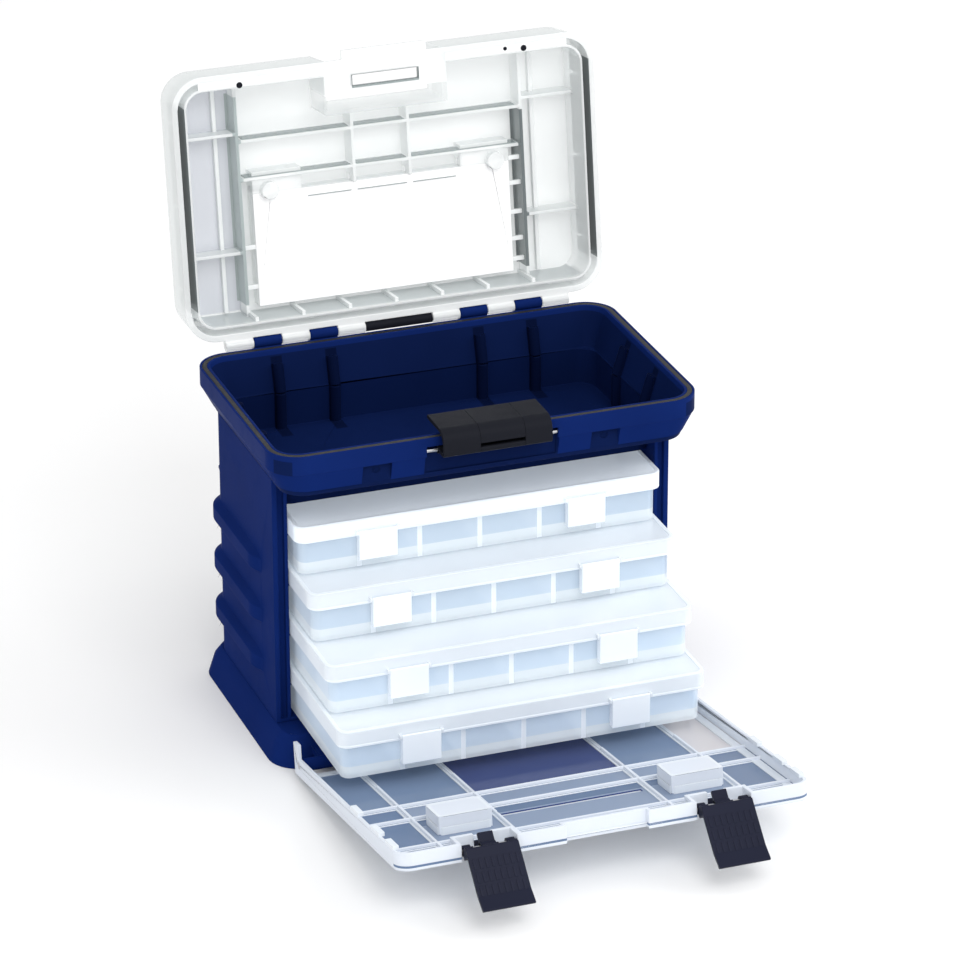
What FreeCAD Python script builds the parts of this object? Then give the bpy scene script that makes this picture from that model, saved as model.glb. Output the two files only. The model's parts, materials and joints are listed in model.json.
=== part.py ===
"""Tackle cabinet: a bulk tub with a hinged clear lid over a cabinet that holds four slide-out boxes.

Frame: X to the right, Y to the back, Z up, in millimetres. The origin is the centre of the footprint
on the floor. The pieces stand as in use: top lid leaning open, front door folded down, boxes pulled
out in steps. Every hinged piece is drawn closed about its own hinge axis and turned by its Placement.
"""
import FreeCAD
import Part
import Sketcher
import math
import os
import re

os.makedirs("parts", exist_ok=True)
doc = FreeCAD.newDocument("TackleCabinet")

# Driving sizes: name, value
SIZES = [
    # shared by the moulded pieces
    ("wall", 2.2), ("pin_play", 0.05), ("seat_gap", 0.3),
    # base plinth
    ("plinth_half", 134.5), ("plinth_front", 77), ("plinth_back", 80), ("plinth_radius", 20),
    ("plinth_wall", 12.8), ("plinth_wall_inset", 4), ("plinth_top", 18.75), ("plinth_top_inset", 4.5),
    ("plinth_hollow_inset", 10.5), ("plinth_hollow_draft", 22), ("plinth_rib", 2.4), ("plinth_rib_at", 60),
    ("plinth_rib_end", 117), ("plinth_rib_foot", 4), ("foot_pad_radius", 14), ("base_screw_across", 98),
    ("base_screw_along", 44), ("screw_radius", 1.5), ("screw_head_radius", 3), ("screw_head_height", 2),
    ("screw_bite", 1.8), ("screw_boss", 4.5),
    # cabinet case
    ("case_half", 126), ("case_front", 49), ("case_back", 71.5), ("case_radius", 18), ("case_top", 179.5),
    ("post_inner", 116.6), ("post_depth", 13), ("post_groove", 4), ("post_groove_at", 3.2),
    ("post_groove_depth", 3), ("runner_inner", 114.3), ("runner_thickness", 2), ("runner_back", 62),
    ("bulge_proud", 4.5), ("bulge_half_flat", 4.25), ("bulge_slope", 3.5), ("bulge_front", 34),
    ("bulge_below_lid", 6),
    # bulk tub
    ("rim_half", 134.5), ("rim_front", 83.5), ("rim_back", 81), ("rim_top", 207), ("rim_radius", 20),
    ("skirt_height", 12), ("lip_outer", 1.6), ("gasket_width", 2.9), ("lip_inner", 1.7),
    ("gasket_depth", 3), ("gasket_play", 0.1), ("gasket_height", 2.8), ("fascia_half", 128),
    ("fascia_front", 80), ("fascia_back", 75), ("fascia_radius", 17), ("shoulder_slope", 4.5),
    ("shoulder_inset", 2), ("ledge_height", 182), ("tub_slope", 17), ("pocket_half", 122.6),
    ("pocket_front", 38), ("pocket_back", 68.8), ("pocket_radius", 14),
    ("pocket_bottom", 156.5), ("back_rib_outer", 83), ("back_rib_inner", 48), ("side_rib_back", 20),
    ("side_rib_front", 25), ("pilaster_radius", 3.4), ("pilaster_inset", 1.2), ("pilaster_top", 200),
    ("bay_half", 41),
    ("bay_back", 78.5), ("bay_bottom", 183.5), ("bay_top", 201.5), ("tub_screw_outer", 95),
    ("tub_screw_inner", 33), ("tub_screw_height", 168), ("keeper_half", 7), ("keeper_front", 82.7),
    ("keeper_back", 80.5), ("keeper_height", 4.6), ("dimple_height", 191), ("dimple_radius", 2.4),
    ("dimple_depth", 1),
    # trays
    ("tray_half", 116), ("tray_depth", 127), ("tray_height", 31.75), ("tray_bottom", 21.25),
    ("tray_pitch", 33), ("tray_side_inset", 2.9), ("tray_front_inset", 3.5), ("tray_wall", 1.5),
    ("tray_lid_skirt", 10), ("tray_radius", 7), ("tray_lid_top", 1.7), ("tray_home", 60.5),
    ("tray_1_out", 3.5), ("tray_2_out", 27.5), ("tray_3_out", 57.5), ("tray_4_out", 78.5),
    ("divider_thickness", 1.2), ("divider_height", 25), ("divider_pitch", 38), ("divider_play", 0.2),
    ("row_wall_at", 62), ("catch_half", 11), ("catch_proud", 2.5), ("catch_low", 8.6), ("catch_high", 13),
    ("tray_latch_across", 66), ("tray_latch_half", 12), ("tray_latch_drop", 18),
    ("tray_latch_thickness", 1.5), ("tray_latch_barrel", 1.3), ("tray_latch_stub", 0.85),
    ("tray_latch_out", 1.6), ("tray_latch_height", 24.5), ("tray_latch_lug", 1.6),
    ("tray_latch_hook", 4), ("tray_hinge_across", 70), ("tray_hinge_height", 19.2),
    ("tray_hinge_pin", 0.9), ("tray_hinge_lug", 4), ("tray_hinge_out", 1.4),
    # front door
    ("door_half", 126.2), ("door_length", 182), ("door_axis_front", 91.5), ("door_axis_height", 11),
    ("door_tilt", 9), ("door_outer", 7), ("door_skin", 2.5), ("door_lip", 4), ("door_side", 2.3),
    ("door_start", 5.5), ("door_corner", 9), ("horn_end", 8), ("horn_top", 13), ("hinge_bar", 4),
    ("hinge_bar_half", 123.5), ("hinge_web_half", 112), ("hinge_web_low", 8), ("hinge_web_high", 13),
    ("hinge_pin", 2), ("hinge_pin_grip", 14), ("door_rib", 1.8), ("door_rib_low", 1.2),
    ("door_rib_high", 2.4), ("door_rib_step", 50), ("door_rib_inner", 47), ("door_rib_outer", 94),
    ("cross_rib_1", 88), ("cross_rib_2", 111), ("cross_rib_3", 156), ("door_slot_left", 46.5),
    ("door_slot_right", 42.5), ("door_slot_at", 126), ("door_slot_width", 3), ("door_latch_across", 71.5),
    ("finger_half", 16.25), ("finger_near", 119), ("finger_far", 142), ("finger_top", 7),
    ("notch_half", 16.6), ("notch_depth", 12), ("hook_slot_half", 5.2), ("hook_slot_depth", 18.5),
    ("recess_half", 25), ("recess_depth", 4),
    # door latches
    ("latch_pin_back", 3), ("latch_pin_drop", 1.5), ("latch_pin", 1.5), ("latch_knuckle", 3.2),
    ("latch_half", 15.8), ("latch_length", 41.5), ("latch_thickness", 2.4), ("latch_offset", 5.8),
    ("latch_hang", 44), ("knuckle_width", 5), ("tongue_half", 4.5), ("tongue_reach", 8.8),
    ("tongue_thickness", 2.6), ("hook_reach", 12.1), ("hook_thickness", 1.5), ("hook_rise", 8),
    # top lid
    ("lid_axis_back", 84.7), ("lid_axis_height", 209), ("lid_half", 135.5), ("lid_start", 3.7),
    ("lid_end", 168.2), ("lid_below_axis", 1.7), ("lid_depth", 31.6), ("lid_radius", 20),
    ("lid_draft", 4), ("lid_open", 98), ("lid_channel", 3.7), ("lid_inner_wall", 1.7),
    ("lid_channel_depth", 24), ("lid_bridge_half", 1.2), ("lid_bridge_pitch", 52), ("hinge_barrel", 3.4),
    ("hinge_rod", 1.6), ("hinge_half", 8.85), ("hinge_pitch", 36), ("tab_inner", 30.8),
    ("knuckle_inner", 48.8), ("hinge_arm_low", 199), ("sleeve_half", 21.5), ("sleeve_radius", 3),
    ("recess_side", 83), ("recess_near", 17.5), ("recess_far", 88), ("recess_tab_far", 101.5),
    ("recess_tab_inner", 51.5), ("recess_drop", 13.3), ("boss_across", 73), ("boss_at", 90),
    ("boss_radius", 5.4), ("lid_rib", 2), ("lid_rib_across", 91.5), ("lid_rib_top", 14),
    ("lid_rib_inner", 18), ("lid_cross_near", 98), ("lid_cross_far", 122), ("lid_side_near", 53),
    ("lid_side_far", 127), ("catch_bay_half", 37), ("catch_bay_near", 137), ("catch_flange", 3),
    ("catch_tongue_half", 27), ("catch_tongue", 5.5), ("catch_slot_half", 21), ("catch_slot_near", 151.5),
    ("catch_slot_far", 158),
    # lid latch
    ("lid_latch_half", 34), ("lid_latch_axis_front", 81.2), ("lid_latch_axis_height", 198.3),
    ("lid_latch_pin", 1.2), ("lid_latch_pin_half", 44), ("lid_latch_barrel", 2.6),
    ("lid_latch_front", 11.8), ("lid_latch_wall", 2.4), ("lid_latch_top", 14.9),
    ("lid_latch_back", 18.2), ("lid_latch_web_low", 1.3), ("lid_latch_hook_half", 19),
    ("lid_latch_hook_front", 10.4), ("lid_latch_hook_low", 8.4),
    # carry handle
    ("handle_axis_at", 90), ("handle_axis_out", 24), ("handle_side", 76.5), ("handle_arm_width", 7),
    ("handle_thickness", 6), ("handle_reach", 62), ("handle_grip", 12), ("handle_pin", 2),
    ("handle_pin_grip", 4),
]
sheet = doc.addObject("Spreadsheet::Sheet", "Sizes")
for row, (alias, amount) in enumerate(SIZES, start=1):
    sheet.set("A%d" % row, alias)
    sheet.set("B%d" % row, str(amount))
    sheet.setAlias("B%d" % row, alias)
doc.recompute()
NAMES = {alias for alias, _ in SIZES}


def linked(formula):
    """A formula of size names, written so that the document reads each name from the sheet."""
    return re.sub(r"[a-z][a-z_0-9]*", lambda m: "Sizes." + m.group() if m.group() in NAMES else m.group(),
                  str(formula))


def value(formula):
    """What a formula of size names comes to now."""
    return float(sheet.evalExpression(linked(formula)))


def bind(item, prop, formula):
    """Ties one property of an object to a formula of size names."""
    item.setExpression(prop, linked(formula))


def minus(high, low):
    return "(%s) - (%s)" % (high, low)


def new_body(name, x="0", y="0", z="0", turn="0", way=-1):
    """A sub-part, its own origin at x, y, z, turned by a number of degrees; way -1 lifts its front."""
    body = doc.addObject("PartDesign::Body", name)
    body.Label = name
    body.AllowCompound = True
    body.Placement = FreeCAD.Placement(FreeCAD.Vector(), FreeCAD.Rotation(FreeCAD.Vector(way, 0, 0), 1))
    bind(body, "Placement.Base.x", x)
    bind(body, "Placement.Base.y", y)
    bind(body, "Placement.Base.z", z)
    bind(body, "Placement.Rotation.Angle", turn)
    return body


def base_plane(body, role):
    return [item for item in body.Origin.OriginFeatures if item.Role == role][0]


def block(body, x, y, z, cut=False):
    """Adds or cuts a box; x, y and z are pairs of formulas, low and high."""
    kind = "PartDesign::SubtractiveBox" if cut else "PartDesign::AdditiveBox"
    box = body.newObject(kind, "Block")
    for side, (low, high) in zip(("Length", "Width", "Height"), (x, y, z)):
        bind(box, side, minus(high, low))
    for axis, (low, high) in zip("xyz", (x, y, z)):
        bind(box, "Placement.Base." + axis, low)
    return box


def pair(body, x, y, z, cut=False):
    """The same box on the right and, mirrored, on the left."""
    low, high = x
    block(body, (low, high), y, z, cut)
    block(body, ("-(%s)" % high, "-(%s)" % low), y, z, cut)


def rod(body, axis, radius, x, y, z, cut=False):
    """Adds or cuts a cylinder along one axis, for which the pair of formulas is low and high."""
    kind = "PartDesign::SubtractiveCylinder" if cut else "PartDesign::AdditiveCylinder"
    item = body.newObject(kind, "Rod")
    turn = {"x": ((0, 1, 0), 90), "y": ((-1, 0, 0), 90), "z": ((0, 0, 1), 0)}[axis]
    item.Placement = FreeCAD.Placement(FreeCAD.Vector(),
                                       FreeCAD.Rotation(FreeCAD.Vector(*turn[0]), turn[1]))
    low, high = {"x": x, "y": y, "z": z}[axis]
    bind(item, "Radius", radius)
    bind(item, "Height", minus(high, low))
    for name, place in zip("xyz", (x, y, z)):
        bind(item, "Placement.Base." + name, low if name == axis else place)
    return item


def rod_pair(body, radius, x, y, z, cut=False):
    """The same rod along X on the right and, mirrored, on the left."""
    low, high = x
    rod(body, "x", radius, (low, high), y, z, cut)
    rod(body, "x", radius, ("-(%s)" % high, "-(%s)" % low), y, z, cut)


def rounded_loop(sketch, x, y, radius):
    """Draws a rounded rectangle, fully held by its four sides and one corner radius."""
    left, right, front, back, r = (value(f) for f in (x[0], x[1], y[0], y[1], radius))
    vector, first = FreeCAD.Vector, sketch.GeometryCount
    corners = [(left + r, front + r, 180), (right - r, front + r, 270), (right - r, back - r, 0),
               (left + r, back - r, 90)]
    ends = [(vector(left + r, front, 0), vector(right - r, front, 0)),
            (vector(right, front + r, 0), vector(right, back - r, 0)),
            (vector(right - r, back, 0), vector(left + r, back, 0)),
            (vector(left, back - r, 0), vector(left, front + r, 0))]
    for start, end in ends:
        sketch.addGeometry(Part.LineSegment(start, end))
    for cx, cy, angle in corners:
        circle = Part.Circle(vector(cx, cy, 0), vector(0, 0, 1), r)
        sketch.addGeometry(Part.ArcOfCircle(circle, math.radians(angle), math.radians(angle + 90)))
    join = "Tangent"
    for side in range(4):
        line, arc_before, arc_after = first + side, first + 4 + side, first + 4 + (side + 1) % 4
        sketch.addConstraint(Sketcher.Constraint(join, line, 1, arc_before, 2))
        sketch.addConstraint(Sketcher.Constraint(join, line, 2, arc_after, 1))
    for side, way in enumerate(("Horizontal", "Vertical", "Horizontal", "Vertical")):
        sketch.addConstraint(Sketcher.Constraint(way, first + side))
    for arc in (1, 2, 3):
        sketch.addConstraint(Sketcher.Constraint("Equal", first + 4, first + 4 + arc))
    held = [("Radius", (first + 4, r), radius),
            ("DistanceY", (-1, 1, first, 1, front), y[0]),
            ("DistanceX", (-1, 1, first + 1, 1, right), x[1]),
            ("DistanceY", (-1, 1, first + 2, 1, back), y[1]),
            ("DistanceX", (-1, 1, first + 3, 1, left), x[0])]
    for kind, data, formula in held:
        index = sketch.addConstraint(Sketcher.Constraint(kind, *data))
        sketch.setExpression("Constraints[%d]" % index, linked(formula))


def slab(body, x, y, z, radius, draft="0", cut=False, hole=None):
    """Adds or cuts a rounded plate from z[0] to z[1].

    A positive draft leans its sides inwards on the way up. A cut goes down from z[1] to z[0] and a
    positive draft leans its sides inwards on the way down. hole is (x, y, radius) of an inner loop.
    """
    sketch = body.newObject("Sketcher::SketchObject", "Outline")
    sketch.AttachmentSupport = [(base_plane(body, "XY_Plane"), "")]
    sketch.MapMode = "FlatFace"
    bind(sketch, "AttachmentOffset.Base.z", z[1] if cut else z[0])
    rounded_loop(sketch, x, y, radius)
    if hole:
        rounded_loop(sketch, *hole)
    plate = body.newObject("PartDesign::Pocket" if cut else "PartDesign::Pad", "Slab")
    plate.Profile = sketch
    bind(plate, "Length", minus(z[1], z[0]))
    bind(plate, "TaperAngle", "-(%s)" % draft)
    return plate


# --- base plinth: drafted skirt and slope, hollow below, with ribs, standing pad and hinge bar -------
deck = "(plinth_top - wall)"
base = new_body("base_plinth")
slab(base, ("-plinth_half", "plinth_half"), ("-plinth_front", "plinth_back"), ("0", "plinth_wall"),
     "plinth_radius", "atan(plinth_wall_inset / plinth_wall)")
slab(base, ("-plinth_half + plinth_wall_inset", "plinth_half - plinth_wall_inset"),
     ("-plinth_front + plinth_wall_inset", "plinth_back - plinth_wall_inset"),
     ("plinth_wall", "plinth_top"),
     "plinth_radius - plinth_wall_inset", "atan(plinth_top_inset / (plinth_top - plinth_wall))")
slab(base, ("-plinth_half + plinth_hollow_inset", "plinth_half - plinth_hollow_inset"),
     ("-plinth_front + plinth_hollow_inset", "plinth_back - plinth_hollow_inset"), ("0", deck),
     "plinth_radius - plinth_hollow_inset", "-plinth_hollow_draft", cut=True)
for place in ("-plinth_rib_at", "0", "plinth_rib_at"):
    block(base, (place + " - plinth_rib / 2", place + " + plinth_rib / 2"),
          ("-plinth_front + plinth_hollow_inset", "plinth_back - plinth_hollow_inset"),
          ("plinth_rib_foot", deck))
block(base, ("-plinth_rib_end", "plinth_rib_end"), ("-plinth_rib / 2", "plinth_rib / 2"),
      ("plinth_rib_foot", deck))
rod(base, "z", "foot_pad_radius", "0", "0", ("0", deck))
block(base, ("-hinge_web_half", "hinge_web_half"),
      ("-door_axis_front", "-plinth_front + plinth_hollow_inset - 1"),
      ("hinge_web_low", "hinge_web_high"))
rod(base, "x", "hinge_bar", ("-hinge_bar_half", "hinge_bar_half"), "-door_axis_front", "door_axis_height")
rod_pair(base, "hinge_pin", ("hinge_bar_half - hinge_pin_grip", "hinge_bar_half"), "-door_axis_front",
         "door_axis_height", cut=True)
SCREWS = [(x, y) for x in ("-base_screw_across", "base_screw_across")
          for y in ("-base_screw_along", "base_screw_along")]
for x, y in SCREWS:
    rod(base, "z", "screw_boss", x, y, (deck + " - screw_head_height", deck))
    rod(base, "z", "screw_radius + pin_play", x, y, (deck + " - screw_head_height", "plinth_top"), cut=True)
    rod(base, "z", "screw_head_radius + pin_play", x, y, ("0", deck), cut=True)

screws = new_body("base_screws")
for x, y in SCREWS:
    rod(screws, "z", "screw_head_radius", x, y, (deck + " - screw_head_height", deck))
    rod(screws, "z", "screw_radius", x, y, (deck, "plinth_top + screw_bite"))

pins = new_body("door_hinge_pins")
rod_pair(pins, "hinge_pin", ("hinge_bar_half - hinge_pin_grip", "door_half"), "-door_axis_front",
         "door_axis_height")

# --- cabinet case: open-fronted shell with hollow bulges, posts and box runners ----------------------
case = new_body("cabinet_case")
deep = "(case_front + 2 * case_radius)"
slab(case, ("-case_half", "case_half"), ("-" + deep, "case_back"), ("plinth_top", "case_top"),
     "case_radius")
BULGES = ["tray_bottom + tray_height + %d * tray_pitch - bulge_below_lid" % n for n in range(3)]
flare = "atan(bulge_proud / bulge_slope)"
for height in BULGES:
    wide = ("-case_half - bulge_proud", "case_half + bulge_proud")
    deepest = ("-bulge_front", "case_back + bulge_proud")
    round_ = "case_radius + bulge_proud"
    slab(case, wide, deepest, (height + " - bulge_half_flat", height + " + bulge_half_flat"), round_)
    slab(case, wide, deepest, (height + " + bulge_half_flat", height + " + bulge_half_flat + bulge_slope"),
         round_, flare)
    slab(case, ("-case_half", "case_half"), ("-bulge_front + bulge_proud", "case_back"),
         (height + " - bulge_half_flat - bulge_slope", height + " - bulge_half_flat"), "case_radius",
         "-" + flare)
slab(case, ("-case_half + wall", "case_half - wall"), ("-case_front + post_depth", "case_back - wall"),
     ("plinth_top + wall", "case_top"), "case_radius - wall", cut=True)
for height in BULGES:
    slab(case, ("-case_half - bulge_proud + wall", "case_half + bulge_proud - wall"),
         ("-bulge_front + wall", "case_back + bulge_proud - wall"),
         (height + " - bulge_half_flat", height + " + bulge_half_flat"), "case_radius", cut=True)
block(case, ("-case_half - wall", "case_half + wall"), ("-" + deep + " - wall", "-case_front"),
      ("0", "case_top + wall"), cut=True)
block(case, ("-post_inner", "post_inner"), ("-case_front - wall", "-case_front + post_depth + case_radius"),
      ("plinth_top + wall", "case_top + wall"), cut=True)
pair(case, ("case_half - post_groove_at - post_groove", "case_half - post_groove_at"),
     ("-case_front - wall", "-case_front + post_groove_depth"),
     ("plinth_top + wall", "case_top + wall"), cut=True)
pair(case, ("post_inner", "case_half - wall"),
     ("-case_front + post_depth", "-case_front + post_depth + case_radius"),
     ("plinth_top + wall", "case_top + wall"), cut=True)
for n in range(4):
    top = "(tray_bottom + tray_height - tray_lid_skirt - seat_gap + %d * tray_pitch)" % n
    pair(case, ("runner_inner", "case_half - wall / 2"),
         ("-case_front + post_groove_depth + 1", "runner_back"),
         (top + " - runner_thickness", top))
for x, y in SCREWS:
    rod(case, "z", "screw_radius + pin_play", x, y, ("plinth_top", "plinth_top + screw_bite"), cut=True)
TUB_SCREWS = ["-tub_screw_outer", "-tub_screw_inner", "tub_screw_inner", "tub_screw_outer"]
for x in TUB_SCREWS:
    rod(case, "y", "screw_radius + pin_play", x, ("case_back - 2 * wall", "case_back"),
        "tub_screw_height", cut=True)

# --- bulk tub: rim with a gasket groove, fascia, pocket that drops into the case ---------------------
tub = new_body("bulk_tub")
skirt = "(rim_top - skirt_height)"
slab(tub, ("-rim_half", "rim_half"), ("-rim_front", "rim_back"), (skirt, "rim_top"), "rim_radius")
slab(tub, ("-fascia_half", "fascia_half"), ("-fascia_front", "fascia_back"),
     ("case_top + shoulder_slope", skirt), "fascia_radius")
slab(tub, ("-fascia_half + shoulder_inset", "fascia_half - shoulder_inset"),
     ("-fascia_front + shoulder_inset", "fascia_back - shoulder_inset"),
     ("case_top", "case_top + shoulder_slope"), "fascia_radius - shoulder_inset",
     "-atan(shoulder_inset / shoulder_slope)")
slab(tub, ("-pocket_half", "pocket_half"), ("-pocket_front", "pocket_back"), ("pocket_bottom", "case_top"),
     "pocket_radius")
mouth = "(lip_outer + gasket_width + lip_inner)"
slab(tub, ("-rim_half + " + mouth, "rim_half - " + mouth), ("-rim_front + " + mouth, "rim_back - " + mouth),
     ("ledge_height", "rim_top"), "rim_radius - " + mouth, "tub_slope", cut=True)
slab(tub, ("-pocket_half + wall", "pocket_half - wall"), ("-pocket_front + wall", "pocket_back - wall"),
     ("pocket_bottom + wall", "ledge_height"), "pocket_radius - wall", cut=True)
groove = [("-rim_half + lip_outer", "rim_half - lip_outer"),
          ("-rim_front + lip_outer", "rim_back - lip_outer"),
          "rim_radius - lip_outer"]
inner = "(lip_outer + gasket_width)"
slab(tub, groove[0], groove[1], ("rim_top - gasket_depth", "rim_top"), groove[2], cut=True,
     hole=(("-rim_half + " + inner, "rim_half - " + inner),
           ("-rim_front + " + inner, "rim_back - " + inner),
           "rim_radius - " + inner))
for share in ("-back_rib_outer", "-back_rib_inner", "back_rib_inner", "back_rib_outer"):
    y = "pocket_back - wall - pilaster_inset"
    rod(tub, "z", "pilaster_radius", share, y, ("pocket_bottom", "ledge_height"))
    lean = rod(tub, "z", "pilaster_radius", share, y, ("ledge_height", "pilaster_top"))
    lean.Placement.Rotation = FreeCAD.Rotation(FreeCAD.Vector(-1, 0, 0), 1)
    bind(lean, "Placement.Rotation.Angle", "tub_slope")
for side in (-1, 1):
    for along in ("side_rib_back", "-side_rib_front"):
        x = "%d * (pocket_half - wall - pilaster_inset)" % side
        rod(tub, "z", "pilaster_radius", x, along, ("pocket_bottom", "ledge_height"))
        lean = rod(tub, "z", "pilaster_radius", x, along, ("ledge_height", "pilaster_top"))
        lean.Placement.Rotation = FreeCAD.Rotation(FreeCAD.Vector(0, side, 0), 1)
        bind(lean, "Placement.Rotation.Angle", "tub_slope")
block(tub, ("-bay_half", "bay_half"), ("-rim_front - wall", "-bay_back"), ("bay_bottom", "bay_top"),
      cut=True)
rod(tub, "x", "lid_latch_pin + pin_play", ("-lid_latch_pin_half", "lid_latch_pin_half"),
    "-lid_latch_axis_front", "lid_latch_axis_height", cut=True)
for side in ("-", ""):
    x = side + "door_latch_across"
    block(tub, (x + " - keeper_half", x + " + keeper_half"), ("-keeper_front", "-keeper_back"),
          (skirt + " - wall", skirt + " + keeper_height"), cut=True)
    rod(tub, "y", "dimple_radius", x, ("-fascia_front", "-fascia_front + dimple_depth"),
        "dimple_height", cut=True)
for side in (-1, 1):
    for step in (0, 1):
        x = "%d * (knuckle_inner + %d * hinge_pitch)" % (side, step)
        block(tub, (x + " - hinge_half", x + " + hinge_half"),
              ("rim_back - wall", "lid_axis_back + hinge_barrel"),
              ("hinge_arm_low", "rim_top - gasket_depth"))
        block(tub, (x + " - hinge_half", x + " + hinge_half"),
              ("lid_axis_back - wall", "lid_axis_back + hinge_barrel"),
              ("hinge_arm_low", "lid_axis_height"))
        rod(tub, "x", "hinge_barrel", (x + " - hinge_half", x + " + hinge_half"), "lid_axis_back",
            "lid_axis_height")
hinge_end = "(tab_inner + 2 * hinge_pitch + hinge_half)"
rod(tub, "x", "hinge_rod + pin_play", ("-" + hinge_end, hinge_end), "lid_axis_back", "lid_axis_height",
    cut=True)
for x in TUB_SCREWS:
    rod(tub, "y", "screw_radius + pin_play", x, ("pocket_back - screw_bite", "pocket_back"),
        "tub_screw_height",
        cut=True)

gasket = new_body("rim_gasket")
play_out, play_in = "(lip_outer + gasket_play)", "(lip_outer + gasket_width - gasket_play)"
slab(gasket, ("-rim_half + " + play_out, "rim_half - " + play_out),
     ("-rim_front + " + play_out, "rim_back - " + play_out),
     ("rim_top - gasket_depth", "rim_top - gasket_depth + gasket_height"), "rim_radius - " + play_out,
     hole=(("-rim_half + " + play_in, "rim_half - " + play_in),
           ("-rim_front + " + play_in, "rim_back - " + play_in), "rim_radius - " + play_in))

screws = new_body("tub_screws")
for x in TUB_SCREWS:
    rod(screws, "y", "screw_head_radius", x, ("case_back", "case_back + screw_head_height"),
        "tub_screw_height")
    rod(screws, "y", "screw_radius", x, ("pocket_back - screw_bite", "case_back"), "tub_screw_height")

latch_pin = new_body("lid_latch_pin")
rod(latch_pin, "x", "lid_latch_pin", ("-lid_latch_pin_half", "lid_latch_pin_half"), "-lid_latch_axis_front",
    "lid_latch_axis_height")
hinge_rod = new_body("lid_hinge_rod")
rod(hinge_rod, "x", "hinge_rod", ("-" + hinge_end, hinge_end), "lid_axis_back", "lid_axis_height")
sleeve = new_body("hinge_sleeve")
rod(sleeve, "x", "sleeve_radius", ("-sleeve_half", "sleeve_half"), "lid_axis_back", "lid_axis_height")
rod(sleeve, "x", "hinge_rod + pin_play", ("-sleeve_half", "sleeve_half"), "lid_axis_back",
    "lid_axis_height",
    cut=True)

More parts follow.
